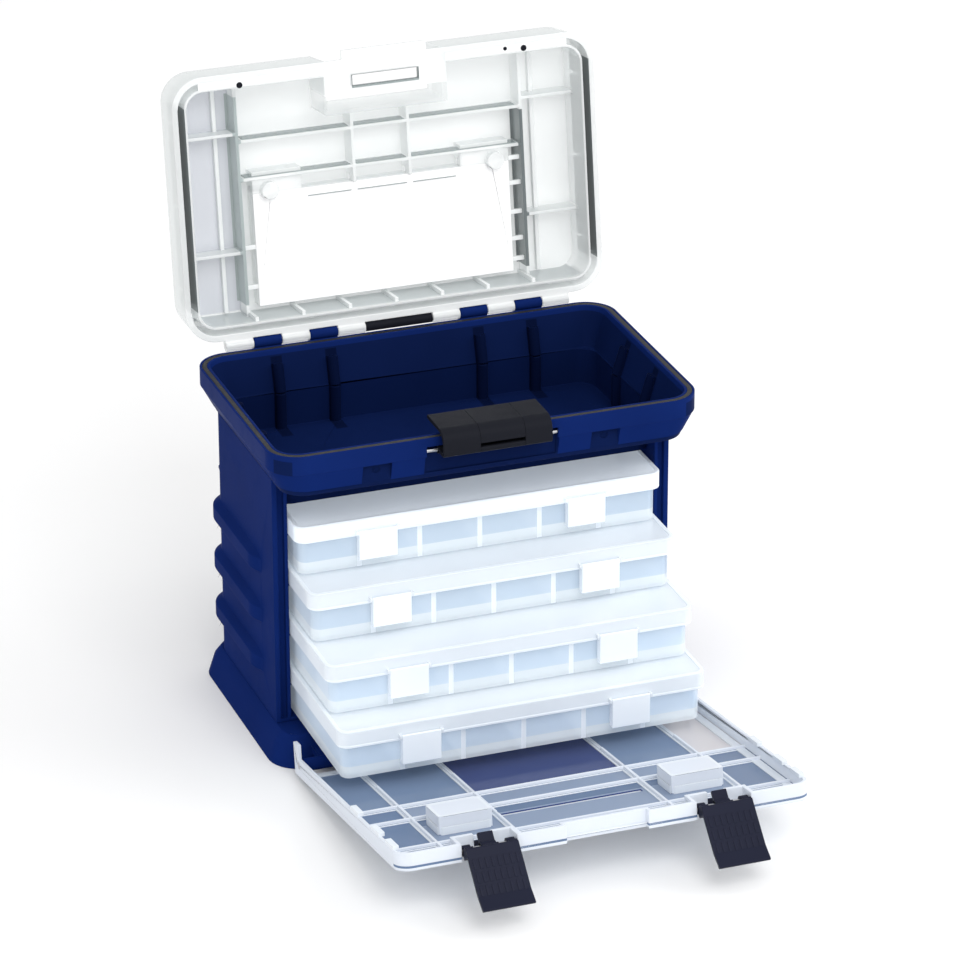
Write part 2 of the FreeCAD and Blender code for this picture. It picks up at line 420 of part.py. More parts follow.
# --- slide-out boxes, top to bottom: box, cap, dividers, hinge pins and two front latches ------------
OUT = ["tray_1_out", "tray_2_out", "tray_3_out", "tray_4_out"]
for n in range(4):
    at = ("0", "-tray_home - " + OUT[n], "tray_bottom + %d * tray_pitch" % (3 - n))
    name = "tray_%d_" % (n + 1)
    box_top = "(tray_height - tray_lid_top)"
    box_half = "(tray_half - tray_side_inset)"
    cap_low = "(tray_height - tray_lid_skirt)"
    box = new_body(name + "box", *at)
    slab(box, ("-" + box_half, box_half), ("tray_front_inset", "tray_depth - tray_side_inset"),
         ("0", box_top),
         "tray_radius - tray_wall")
    slab(box, ("-%s + tray_wall" % box_half, box_half + " - tray_wall"),
         ("tray_front_inset + tray_wall", "tray_depth - tray_side_inset - tray_wall"),
         ("tray_wall", box_top),
         "tray_radius - 2 * tray_wall", cut=True)
    cap = new_body(name + "lid", *at)
    slab(cap, ("-tray_half", "tray_half"), ("0", "tray_depth"), (cap_low, "tray_height"), "tray_radius")
    slab(cap, ("-tray_half + tray_wall", "tray_half - tray_wall"), ("tray_wall", "tray_depth - tray_wall"),
         (cap_low, box_top), "tray_radius - tray_wall", cut=True)
    hinge_pins = new_body(name + "hinge_pins", *at)
    hinge_y = "(tray_depth - tray_hinge_out)"
    for side in ("-", ""):
        x = side + "tray_hinge_across"
        block(cap, (x + " - tray_hinge_lug / 2 + pin_play", x + " + tray_hinge_lug / 2 - pin_play"),
              (hinge_y + " - tray_hinge_out", "tray_depth"),
              ("tray_hinge_height - tray_hinge_out", cap_low + " + tray_wall"))
        for end in ("-1.5", "0.5"):
            block(box, (x + " + (%s) * tray_hinge_lug" % end, x + " + (%s + 1) * tray_hinge_lug" % end),
                  ("tray_depth - tray_side_inset - tray_wall", "tray_depth"),
                  ("tray_hinge_height - tray_hinge_out", "tray_hinge_height + tray_hinge_out"))
        reach = (x + " - 1.5 * tray_hinge_lug", x + " + 1.5 * tray_hinge_lug")
        for body in (cap, box):
            rod(body, "x", "tray_hinge_pin + pin_play", reach, hinge_y, "tray_hinge_height", cut=True)
        rod(hinge_pins, "x", "tray_hinge_pin", reach, hinge_y, "tray_hinge_height")
        x = side + "tray_latch_across"
        block(box, (x + " - catch_half", x + " + catch_half"),
              ("tray_front_inset - catch_proud", "tray_front_inset + tray_wall / 2"),
              ("catch_low", "catch_high"))
        for way in (-1, 1):
            near = "%s + %d * (tray_latch_half + pin_play)" % (x, way)
            far = near + " + %d * tray_latch_lug" % way
            block(cap, (near, far) if way > 0 else (far, near),
                  ("-tray_latch_out - tray_latch_barrel", "tray_wall / 2"),
                  ("tray_latch_height - tray_latch_barrel", "tray_latch_height + tray_latch_barrel"))
        rod(cap, "x", "tray_latch_stub + pin_play",
            (x + " - tray_latch_half - tray_latch_lug", x + " + tray_latch_half + tray_latch_lug"),
            "-tray_latch_out", "tray_latch_height", cut=True)
    for side, side_name in (("-", "left"), ("", "right")):
        latch = new_body(name + "latch_" + side_name, side + "tray_latch_across",
                         "-tray_home - %s - tray_latch_out" % OUT[n], at[2] + " + tray_latch_height")
        rod(latch, "x", "tray_latch_barrel", ("-tray_latch_half", "tray_latch_half"), "0", "0")
        rod(latch, "x", "tray_latch_stub", ("-tray_latch_half - tray_latch_lug + pin_play",
                                            "tray_latch_half + tray_latch_lug - pin_play"), "0", "0")
        plate = ("-tray_latch_barrel", "-tray_latch_barrel + tray_latch_thickness")
        block(latch, ("-tray_latch_half", "tray_latch_half"), plate, ("-tray_latch_drop", "0"))
        block(latch, ("-tray_latch_half", "tray_latch_half"),
              (plate[1] + " - tray_latch_thickness", plate[1] + " + tray_latch_hook"),
              ("-tray_latch_drop", "-tray_latch_drop + tray_latch_thickness"))
    grid = new_body(name + "dividers", *at)
    floor = ("tray_wall", "tray_wall + divider_height")
    long_half = box_half + " - tray_wall - divider_play"
    block(grid, ("-(%s)" % long_half, long_half),
          ("row_wall_at - divider_thickness / 2", "row_wall_at + divider_thickness / 2"), floor)
    for step in range(-2, 3):
        x = "%d * divider_pitch" % step
        block(grid, (x + " - divider_thickness / 2", x + " + divider_thickness / 2"),
              ("tray_front_inset + tray_wall + divider_play",
               "tray_depth - tray_side_inset - tray_wall - divider_play"), floor)

# --- front door: shallow ribbed tray, drawn lying open, front edge towards -Y ------------------------
door = new_body("front_door", "0", "-door_axis_front", "door_axis_height", "door_tilt")
skin_top = "(-door_outer + door_skin)"
slab(door, ("-door_half", "door_half"), ("-door_length", "door_corner - door_start"),
     ("-door_outer", "door_lip"),
     "door_corner")
slab(door, ("-door_half + door_side", "door_half - door_side"),
     ("-door_length + door_side", "door_corner + door_start"), (skin_top, "door_lip"),
     "door_corner - door_side",
     cut=True)
block(door, ("-door_half + door_side", "door_half - door_side"), ("-door_start", "2 * door_corner"),
      ("-2 * door_outer", "horn_top"), cut=True)
pair(door, ("door_half - door_side", "door_half"), ("-door_start - door_corner", "horn_end"),
     ("-door_outer", "door_lip"))
pair(door, ("door_half - door_side", "door_half"), ("0", "horn_end"), ("0", "horn_top"))
far = "(-door_length + recess_depth + door_side)"
for step in ("-door_rib_outer", "-door_rib_inner", "door_rib_inner", "door_rib_outer"):
    across = (step + " - door_rib / 2", step + " + door_rib / 2")
    block(door, across, ("-door_rib_step", "-door_start"), (skin_top, skin_top + " + door_rib_low"))
    block(door, across, (far, "-door_rib_step"), (skin_top, skin_top + " + door_rib_high"))
for place in ("cross_rib_1", "cross_rib_2", "cross_rib_3"):
    block(door, ("-door_half + door_side", "door_half - door_side"),
          ("-%s - door_rib / 2" % place, "-%s + door_rib / 2" % place),
          (skin_top, skin_top + " + door_rib_high"))
block(door, ("-door_slot_left", "door_slot_right"),
      ("-door_slot_at - door_slot_width / 2", "-door_slot_at + door_slot_width / 2"),
      ("-2 * door_outer", "door_lip"), cut=True)
for side in ("-", ""):
    x = side + "door_latch_across"
    block(door, (x + " - finger_half", x + " + finger_half"), ("-finger_far", "-finger_near"),
          (skin_top, "finger_top"))
    block(door, (x + " - finger_half + wall", x + " + finger_half - wall"),
          ("-finger_far + wall", "-finger_near - wall"), ("-2 * door_outer", "finger_top - wall"), cut=True)
    lug = (x + " - notch_half - door_side", x + " + notch_half + door_side")
    block(door, lug, ("-door_length", "-door_length + notch_depth + door_side"),
          ("-door_outer", "door_lip"))
    block(door, (x + " - notch_half", x + " + notch_half"),
          ("-door_length - wall", "-door_length + notch_depth"),
          ("-2 * door_outer", "2 * door_lip"), cut=True)
    block(door, (x + " - hook_slot_half", x + " + hook_slot_half"),
          ("-door_length - wall", "-door_length + hook_slot_depth"),
          ("-2 * door_outer", "2 * door_lip"), cut=True)
    rod(door, "x", "latch_pin + pin_play", lug, "-door_length + latch_pin_back", "-latch_pin_drop",
        cut=True)
block(door, ("-recess_half - door_side", "recess_half + door_side"),
      ("-door_length", "-door_length + recess_depth + door_side"), (skin_top, "door_lip"))
block(door, ("-recess_half", "recess_half"), ("-door_length - wall", "-door_length + recess_depth"),
      ("-2 * door_outer", "2 * door_lip"), cut=True)
rod(door, "x", "hinge_pin + pin_play", ("-door_half", "door_half"), "0", "0", cut=True)

latch_pins = new_body("door_latch_pins", "0", "-door_axis_front", "door_axis_height", "door_tilt")
for side in ("-", ""):
    x = side + "door_latch_across"
    rod(latch_pins, "x", "latch_pin", (x + " - notch_half - door_side", x + " + notch_half + door_side"),
        "-door_length + latch_pin_back", "-latch_pin_drop")

reach, drop = "(door_length - latch_pin_back)", "latch_pin_drop"
for side, name in (("-", "left"), ("", "right")):
    latch = new_body("door_latch_" + name, side + "door_latch_across",
                     "-door_axis_front - %s * cos(door_tilt) - %s * sin(door_tilt)" % (reach, drop),
                     "door_axis_height + %s * sin(door_tilt) - %s * cos(door_tilt)" % (reach, drop),
                     "latch_hang", way=1)
    plate = ("latch_offset", "latch_offset + latch_thickness")
    slab(latch, ("-latch_half", "latch_half"), ("-latch_length", "-latch_pin"), plate, "latch_knuckle / 2")
    rod(latch, "x", "latch_knuckle", ("-tongue_half", "tongue_half"), "0", "0")
    rod_pair(latch, "latch_knuckle", ("latch_half - knuckle_width", "latch_half"), "0", "0")
    pair(latch, ("latch_half - knuckle_width", "latch_half"),
         ("-2 * latch_knuckle + latch_thickness / 4", "0"),
         ("0", plate[0] + " + latch_thickness / 2"))
    block(latch, ("-tongue_half", "tongue_half"), ("-2 * latch_knuckle + latch_thickness / 4", "0"),
          ("0", plate[0] + " + latch_thickness / 2"))
    block(latch, ("-tongue_half", "tongue_half"), ("0", "tongue_reach"),
          ("-tongue_thickness / 2", "tongue_thickness / 2"))
    block(latch, ("-tongue_half", "tongue_half"), ("-hook_thickness / 2", "hook_thickness / 2"),
          ("-hook_reach", "0"))
    block(latch, ("-tongue_half", "tongue_half"), ("-hook_thickness / 2", "hook_rise"),
          ("-hook_reach", "-hook_reach + hook_thickness"))
    rod(latch, "x", "latch_pin + pin_play", ("-latch_half", "latch_half"), "0", "0", cut=True)

# --- top lid: drawn closed about its hinge axis, front edge towards -Y -------------------------------
low, roof = "(-lid_below_axis)", "(lid_depth - lid_below_axis)"
under = "(lid_depth - lid_below_axis - wall)"
lid = new_body("top_lid", "0", "lid_axis_back", "lid_axis_height", "lid_open")
slab(lid, ("-lid_half", "lid_half"), ("-lid_end", "-lid_start"), (low, roof), "lid_radius", "lid_draft")
outer_wall = "(wall + lid_channel_depth * tan(lid_draft))"
past_channel = "(%s + lid_channel)" % outer_wall
inside = "(%s + lid_inner_wall)" % past_channel


def lid_loop(inset):
    """The lid's outline moved inwards."""
    return (("-lid_half + " + inset, "lid_half - " + inset),
            ("-lid_end + " + inset, "-lid_start - " + inset),
            "lid_radius - " + inset)


hollow = lid_loop(inside)
slab(lid, hollow[0], hollow[1], (low, under), hollow[2], cut=True)
groove = lid_loop(outer_wall)
slab(lid, groove[0], groove[1], (low, low + " + lid_channel_depth"), groove[2], cut=True,
     hole=lid_loop(past_channel))
bridge = (low + " + lid_channel_depth / 2", low + " + lid_channel_depth")
for step in range(-2, 3):
    x = "%d * lid_bridge_pitch" % step
    for y in (("-lid_end + " + outer_wall, "-lid_end + " + past_channel),
              ("-lid_start - " + past_channel, "-lid_start - " + outer_wall)):
        block(lid, (x + " - lid_bridge_half", x + " + lid_bridge_half"), y, bridge)
for step in (-1, 0, 1):
    y = "-(lid_start + lid_end) / 2 + %d * lid_bridge_pitch" % step
    pair(lid, ("lid_half - " + past_channel, "lid_half - " + outer_wall),
         (y + " - lid_bridge_half", y + " + lid_bridge_half"), bridge)
ribs = ("lid_rib_top", under)
pair(lid, ("lid_rib_across - lid_rib / 2", "lid_rib_across + lid_rib / 2"),
     (hollow[1][0], hollow[1][1]), ribs)
pair(lid, ("lid_rib_inner - lid_rib / 2", "lid_rib_inner + lid_rib / 2"),
     ("-catch_bay_near", "-recess_far"), ribs)
for place in ("lid_cross_near", "lid_cross_far"):
    block(lid, ("-lid_rib_across", "lid_rib_across"),
          ("-%s - lid_rib / 2" % place, "-%s + lid_rib / 2" % place),
          ribs)
for place in ("lid_side_near", "lid_side_far"):
    pair(lid, ("lid_rib_across", hollow[0][1]),
         ("-%s - lid_rib / 2" % place, "-%s + lid_rib / 2" % place), ribs)
sunk = "(%s - recess_drop)" % roof
block(lid, ("-recess_side", "recess_side"), ("-recess_far", "-recess_near"), (sunk, under))
pair(lid, ("recess_tab_inner", "recess_side"), ("-recess_tab_far", "-recess_far"), (sunk, under))
for side in ("-", ""):
    rod(lid, "z", "boss_radius", side + "boss_across", "-boss_at",
        (sunk + " - boss_radius", sunk + " + wall"))
block(lid, ("-recess_side + wall", "recess_side - wall"), ("-recess_far + wall", "-recess_near - wall"),
      (sunk + " + wall", roof + " + wall"), cut=True)
pair(lid, ("recess_tab_inner + wall", "recess_side - wall"),
     ("-recess_tab_far + wall", "-recess_far + 2 * wall"),
     (sunk + " + wall", roof + " + wall"), cut=True)
rod(lid, "x", "handle_pin + pin_play", ("-recess_side", "recess_side"), "-handle_axis_at",
    "handle_axis_out",
    cut=True)
block(lid, ("-catch_bay_half - wall", "catch_bay_half + wall"),
      ("-lid_end + wall", "-catch_bay_near + wall"),
      (low, under))
block(lid, ("-catch_bay_half", "catch_bay_half"), ("-lid_end - wall", "-catch_bay_near"),
      (low + " + catch_flange", roof + " + wall"), cut=True)
block(lid, ("-catch_tongue_half", "catch_tongue_half"), ("-lid_end - catch_tongue", "-lid_end + wall"),
      (low, low + " + catch_flange"))
block(lid, ("-catch_slot_half", "catch_slot_half"), ("-catch_slot_far", "-catch_slot_near"),
      (low + " - wall", low + " + 2 * catch_flange"), cut=True)
for side in (-1, 1):
    for step in (0, 1, 2):
        x = "%d * (tab_inner + %d * hinge_pitch)" % (side, step)
        across = (x + " - hinge_half", x + " + hinge_half")
        block(lid, across, ("-lid_start - wall", "0"), (low, "hinge_barrel"))
        rod(lid, "x", "hinge_barrel", across, "0", "0")
rod(lid, "x", "hinge_rod + pin_play", ("-" + hinge_end, hinge_end), "0", "0", cut=True)

handle_pins = new_body("handle_pivot_pins", "0", "lid_axis_back", "lid_axis_height", "lid_open")
rod_pair(handle_pins, "handle_pin", ("recess_side - wall - handle_pin_grip - handle_arm_width",
                                     "recess_side"),
         "-handle_axis_at", "handle_axis_out")

handle = new_body("carry_handle", "0",
                  "lid_axis_back - handle_axis_at * cos(lid_open) + handle_axis_out * sin(lid_open)",
                  "lid_axis_height + handle_axis_at * sin(lid_open) + handle_axis_out * cos(lid_open)",
                  "90")
thick = ("-handle_thickness / 2", "handle_thickness / 2")
pair(handle, ("handle_side - handle_arm_width", "handle_side"), ("0", "handle_reach"), thick)
rod_pair(handle, "1.5 * handle_pin", ("handle_side - handle_arm_width", "handle_side"), "0", "0")
block(handle, ("-handle_side", "handle_side"), ("handle_reach - handle_grip", "handle_reach"), thick)
rod(handle, "x", "handle_pin + pin_play", ("-handle_side", "handle_side"), "0", "0", cut=True)

# --- lid latch: a C-shaped shell that turns on a pin across the rim's bay ----------------------------
latch = new_body("lid_latch", "0", "-lid_latch_axis_front", "lid_latch_axis_height")
across = ("-lid_latch_half", "lid_latch_half")
rod(latch, "x", "lid_latch_barrel", across, "0", "0")
block(latch, across, ("-lid_latch_front", "0"),
      ("-lid_latch_web_low", "-lid_latch_web_low + lid_latch_wall"))
block(latch, across, ("-lid_latch_front", "-lid_latch_front + lid_latch_wall"),
      ("-lid_latch_web_low", "lid_latch_top"))
block(latch, across, ("-lid_latch_front", "lid_latch_back"),
      ("lid_latch_top - lid_latch_wall", "lid_latch_top"))
block(latch, ("-lid_latch_hook_half", "lid_latch_hook_half"),
      ("lid_latch_hook_front", "lid_latch_hook_front + lid_latch_wall"),
      ("lid_latch_hook_low", "lid_latch_top"))
rod(latch, "x", "lid_latch_pin + pin_play", across, "0", "0", cut=True)

doc.recompute()
broken = [item.Name for item in doc.Objects if "Invalid" in item.State or "Error" in item.State]
if broken:
    raise RuntimeError("not rebuilt: " + ", ".join(broken))
for body in doc.Objects:
    if body.isDerivedFrom("PartDesign::Body"):
        if body.Shape.isNull() or not body.Shape.isValid():
            raise RuntimeError("bad shape: " + body.Label)
        body.Shape.exportStep("parts/%s.step" % body.Label)
        print(body.Label, len(body.Shape.Solids), round(body.Shape.Volume))
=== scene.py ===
"""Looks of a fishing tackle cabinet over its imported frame: blue case, clear lid and door, clear boxes."""
import json
from math import radians, sin, tan

import bmesh
import bpy
from bpy.props import FloatProperty, FloatVectorProperty, IntProperty, PointerProperty
from mathutils import Matrix, Vector


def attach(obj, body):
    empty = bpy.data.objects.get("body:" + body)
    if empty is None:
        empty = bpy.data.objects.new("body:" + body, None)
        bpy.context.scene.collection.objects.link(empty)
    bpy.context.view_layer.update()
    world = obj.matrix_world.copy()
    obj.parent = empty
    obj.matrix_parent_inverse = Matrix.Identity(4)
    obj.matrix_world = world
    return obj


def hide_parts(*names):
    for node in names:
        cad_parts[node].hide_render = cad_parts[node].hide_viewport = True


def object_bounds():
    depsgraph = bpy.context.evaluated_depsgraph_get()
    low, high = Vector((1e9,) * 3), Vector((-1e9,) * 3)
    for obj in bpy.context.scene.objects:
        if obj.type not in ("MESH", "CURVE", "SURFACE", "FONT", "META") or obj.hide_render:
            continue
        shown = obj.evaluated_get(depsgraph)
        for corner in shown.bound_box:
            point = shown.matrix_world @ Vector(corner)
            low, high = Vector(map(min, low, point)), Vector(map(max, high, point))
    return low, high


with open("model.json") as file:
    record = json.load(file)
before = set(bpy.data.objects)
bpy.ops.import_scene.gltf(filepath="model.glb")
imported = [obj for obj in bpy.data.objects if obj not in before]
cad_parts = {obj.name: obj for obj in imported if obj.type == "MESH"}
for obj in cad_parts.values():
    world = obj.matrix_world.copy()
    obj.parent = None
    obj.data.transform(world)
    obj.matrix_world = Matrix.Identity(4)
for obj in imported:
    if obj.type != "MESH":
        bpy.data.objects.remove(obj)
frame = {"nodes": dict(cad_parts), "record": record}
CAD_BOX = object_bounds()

bl_info = {
    "name": "Tackle Cabinet",
    "version": (1, 0, 0),
    "blender": (4, 5, 0),
    "location": "View3D > Sidebar > Tackle Cabinet",
    "description": "Dresses the packed tackle cabinet and sets its stage",
    "category": "Object",
}

MM = 0.001
RECORD = frame["record"]
JOINT = {joint["name"]: joint for joint in RECORD["behaviour"]["joints"]}
BODY_OF = {node: body for body, nodes in RECORD["behaviour"]["bodies"].items() for node in nodes}
SLOT_OF = {part["node"]: part["material_slot"] for part in RECORD["subparts"]}
SIDES = (-1, 1)
# Edges that turn more than this are rounded, or stay sharp on pieces too fine to round
HARD_EDGE = radians(38)

# Sizes below are in millimetres. The lid and the door have frames of their own, turned about their hinges:
# X runs across, minus Y along from the hinge, and Z out of the lid's top or up from the open door.
LID = {"axis": Vector((0, 84.7, 209)) * MM, "turn": radians(-98)}
DOOR = {"axis": Vector((0, -91.5, 11)) * MM, "turn": radians(-9),
        "face": -4.5, "ribs": (47, 94), "cross_ribs": (88, 111, 156)}
# The screws that join case and tub, and how far round each one the edges stay as they are
SCREWS = {"across": (-95, -33, 33, 95), "height": 168, "clear": 7}

CASE_NODES = ("base_plinth", "cabinet_case", "bulk_tub")
HINGED_NODES = ("top_lid", "front_door", "carry_handle")
LATCH_NODES = ("lid_latch", "door_latch_left", "door_latch_right")
BOX_NUMBERS = (1, 2, 3, 4)
BOX_NODES = tuple("tray_%d_%s" % (number, part) for number in BOX_NUMBERS
                  for part in ("box", "lid", "dividers"))
BOX_LATCH_NODES = tuple("tray_%d_latch_%s" % (number, side) for number in BOX_NUMBERS
                        for side in ("left", "right"))


def tint_setting(label, description, default):
    """A colour that a user can change, in linear red, green and blue."""
    return FloatVectorProperty(name=label, description=description, subtype="COLOR", size=3, min=0, max=1,
                               default=default)


class CabinetFinish(bpy.types.PropertyGroup):
    """Colours and edge rounding of the cabinet's mouldings."""

    case_blue: tint_setting("Cabinet blue", "Colour of the blue mouldings", (0.005, 0.017, 0.108))
    # Painted shade: the tub's walls, floor and pilasters are painted darker than the case's blue
    tub_shade_blue: tint_setting("Tub blue", "Colour of the tub's shaded walls", (0.004, 0.011, 0.058))
    tub_floor_shade: tint_setting("Tub floor", "Colour low in the tub", (0.004, 0.007, 0.026))
    tub_rib_shade: tint_setting("Tub rib", "Colour of the tub's shaded pilasters", (0.0025, 0.006, 0.030))
    box_white: tint_setting("Box clear", "Tint of the boxes' caps, rims and latches", (0.90, 0.95, 1.0))
    box_blue: tint_setting("Box blue", "Tint of the boxes' own walls below the caps", (0.90, 0.96, 1.0))
    # Painted shade: the darker band where a box's thin front shows its shaded inside
    box_window_shade: tint_setting("Box window", "Tint of the thin upper part of a box's front", (0.60, 0.72, 0.86))
    box_edge: tint_setting("Box edge", "Tint of box walls seen along their length", (0.62, 0.70, 0.82))
    lid_white: tint_setting("Lid clear", "Tint of the top lid and the dividers", (0.96, 0.98, 0.98))
    # This tint is also the painted shade on the lid's left long rib and on the dark sheets beside its ribs
    lid_edge_and_shade: tint_setting("Lid edge", "Tint of lid walls seen along their length", (0.36, 0.42, 0.42))
    channel_shade: tint_setting("Channel shade", "Tint inside the lid's edge channel", (0.09, 0.115, 0.12))
    door_white: tint_setting("Door clear", "Tint of the door's own walls", (0.84, 0.89, 0.97))
    door_edge: tint_setting("Door edge", "Tint of door walls seen along their length", (0.74, 0.78, 0.88))
    # Painted reflection and shade on the door's panels: each tint stands for what a panel mirrors and the
    # shade seen through it; the far end's is a painted highlight
    door_clear: tint_setting("Door panel", "Tint of the door's thin panels", (0.13, 0.20, 0.34))
    door_shade: tint_setting("Door shade", "Tint of the panel that mirrors the case", (0.022, 0.042, 0.165))
    door_side_reflection: tint_setting("Door side", "Tint of the panels beside the shaded one", (0.15, 0.22, 0.35))
    door_far_highlight: tint_setting("Door far end", "Tint of the door's brightest corner", (0.66, 0.64, 0.66))
    door_pale_reflection: tint_setting("Door pale", "Tint of the door's thicker panels", (0.24, 0.31, 0.44))
    latch_grey: tint_setting("Latch grey", "Colour of the lid latch and hinge sleeve", (0.012, 0.013, 0.018))
    door_latch_grey: tint_setting("Door latch slate", "Colour of the door latches", (0.012, 0.014, 0.030))
    seal_black: tint_setting("Seal black", "Colour of the rim seal", (0.010, 0.010, 0.011))
    pin_steel: tint_setting("Pin steel", "Colour of pins and screws", (0.52, 0.52, 0.53))
    edge_round: FloatProperty(name="Edge rounding", description="Radius of the softened mould edges",
                              default=0.5 * MM, min=0, unit="LENGTH")
    edge_steps: IntProperty(name="Edge steps", description="Segments across a softened edge", default=2,
                            min=1)


class CabinetStage(bpy.types.PropertyGroup):
    """Camera, lamps and floor."""

    camera_place: FloatVectorProperty(name="Camera place", description="Where the camera stands",
                                      subtype="TRANSLATION", size=3, default=(-0.9080, -2.5462, 1.3753))
    camera_turn: FloatProperty(name="Camera turn", description="Turn to the right of straight ahead",
                               default=radians(20.07), subtype="ANGLE")
    camera_dip: FloatProperty(name="Camera dip", description="How far the camera looks down",
                              default=radians(24.59), subtype="ANGLE")
    camera_roll: FloatProperty(name="Camera roll", description="Roll about the line of sight",
                               default=radians(-0.139), subtype="ANGLE")
    lens: FloatProperty(name="Lens", description="Focal length on a 36 mm sensor, in mm", default=183.7,
                        min=1)
    sky_level: FloatProperty(name="Sky level", description="Strength of the even studio light", default=0.86,
                             min=0)
    key_power: FloatProperty(name="Key power", description="Power of the main soft lamp, in watts",
                             default=36, min=0)
    fill_power: FloatProperty(name="Fill power", description="Power of the side soft lamp, in watts",
                              default=16, min=0)
    floor_half: FloatProperty(name="Floor half width", description="Half the floor's side", default=12, min=1,
                              unit="LENGTH")
    floor_white: FloatProperty(name="Floor white", description="Whiteness of the floor", default=0.985, min=0,
                               max=1)


# --- shader nodes -------------------------------------------------------------------------------------
def feed(tree, socket, term):
    """Links a socket to another one, or sets it to a plain value."""
    if isinstance(term, bpy.types.NodeSocket):
        tree.links.new(term, socket)
    else:
        socket.default_value = term


def maths(tree, operation, *terms, clamp=False):
    """The result of a maths node; each term is a socket or a number."""
    node = tree.nodes.new("ShaderNodeMath")
    node.operation, node.use_clamp = operation, clamp
    for socket, term in zip(node.inputs, terms):
        feed(tree, socket, term)
    return node.outputs["Value"]


def mixed(tree, kind, factor, first, second):
    """A blend of two colours (RGBA) or two numbers (FLOAT), each a socket or a value."""
    node = tree.nodes.new("ShaderNodeMix")
    node.data_type = kind
    for label, term in (("Factor", factor), ("A", first), ("B", second)):
        feed(tree, node.inputs[label], term)
    return node.outputs["Result"]


def stretched(tree, value, low, high):
    """A value mapped to nought at low and one at high."""
    node = tree.nodes.new("ShaderNodeMapRange")
    node.inputs["From Min"].default_value = low
    node.inputs["From Max"].default_value = high
    feed(tree, node.inputs["Value"], value)
    return node.outputs["Result"]


def noise(tree, scale, detail, roughness=0.5):
    """Noise in the piece's own space."""
    node = tree.nodes.new("ShaderNodeTexNoise")
    node.inputs["Scale"].default_value = scale
    node.inputs["Detail"].default_value = detail
    node.inputs["Roughness"].default_value = roughness
    feed(tree, node.inputs["Vector"], tree.nodes.new("ShaderNodeTexCoord").outputs["Object"])
    return node.outputs["Fac"]


def new_group(name, inputs, outputs):
    """A shader node group with the named float or colour sockets, and its two end nodes."""
    group = bpy.data.node_groups.new(name, "ShaderNodeTree")
    for label, kind, value in inputs:
        socket = group.interface.new_socket(name=label, in_out="INPUT", socket_type=kind)
        socket.default_value = value
    for label, kind in outputs:
        group.interface.new_socket(name=label, in_out="OUTPUT", socket_type=kind)
    return group, group.nodes.new("NodeGroupInput").outputs, group.nodes.new("NodeGroupOutput").inputs


def moulding_grain():
    """Faint flow marks, fine orange peel and handling scuffs of injection-moulded plastic."""
    name = "Moulding grain"
    if name in bpy.data.node_groups:
        return bpy.data.node_groups[name]
    group, given, result = new_group(
        name,
        [("Colour", "NodeSocketColor", (0.5, 0.5, 0.5, 1)), ("Drift", "NodeSocketFloat", 0.1),
         ("Roughness", "NodeSocketFloat", 0.3), ("Scuff", "NodeSocketFloat", 0.1)],
        [("Colour", "NodeSocketColor"), ("Roughness", "NodeSocketFloat"), ("Height", "NodeSocketFloat")])
    flow = stretched(group, noise(group, scale=14, detail=3), 0.3, 0.7)
    peel = noise(group, scale=900, detail=2)
    worn = stretched(group, noise(group, scale=60, detail=6, roughness=0.7), 0.5, 0.8)
    gain = maths(group, "ADD", maths(group, "MULTIPLY", flow, given["Drift"]), 1)
    tint = group.nodes.new("ShaderNodeVectorMath")
    tint.operation = "SCALE"
    feed(group, tint.inputs[0], given["Colour"])
    feed(group, tint.inputs["Scale"], gain)
    feed(group, result["Colour"], tint.outputs["Vector"])
    feed(group, result["Roughness"], maths(group, "MULTIPLY_ADD", worn, given["Scuff"], given["Roughness"]))
    feed(group, result["Height"], peel)
    return group


def edge_density():
    """Opacity of a clear wall: thin when faced, dense when seen along it, with a cloudy drift."""
    name = "Edge density"
    if name in bpy.data.node_groups:
        return bpy.data.node_groups[name]
    group, given, result = new_group(
        name,
        [("Along", "NodeSocketFloat", 0.0), ("Faced", "NodeSocketFloat", 0.3),
         ("Edge", "NodeSocketFloat", 0.9), ("Cloud", "NodeSocketFloat", 0.1)],
        [("Alpha", "NodeSocketFloat")])
    span = mixed(group, "FLOAT", given["Along"], given["Faced"], given["Edge"])
    cloud = noise(group, scale=20, detail=4)
    feed(group, result["Alpha"], maths(group, "MULTIPLY_ADD", cloud, given["Cloud"], span, clamp=True))
    return group


def turned_frame(tree, origin, turn):
    """Where a point lies in a frame with an origin of its own, turned about X."""
    place = tree.nodes.new("ShaderNodeMapping")
    place.vector_type = "TEXTURE"
    place.inputs["Location"].default_value = origin
    place.inputs["Rotation"].default_value = (turn, 0, 0)
    feed(tree, place.inputs["Vector"], tree.nodes.new("ShaderNodeTexCoord").outputs["Object"])
    return place.outputs["Vector"]


def box_mask(tree, place, middle, half):
    """One where place lies inside a box given by its middle and half sizes, nought outside it."""
    split = tree.nodes.new("ShaderNodeSeparateXYZ")
    feed(tree, split.inputs["Vector"], place)
    near = [maths(tree, "COMPARE", split.outputs[axis], centre, reach)
            for axis, centre, reach in zip("XYZ", middle, half)]
    return maths(tree, "MULTIPLY", maths(tree, "MULTIPLY", near[0], near[1]), near[2])


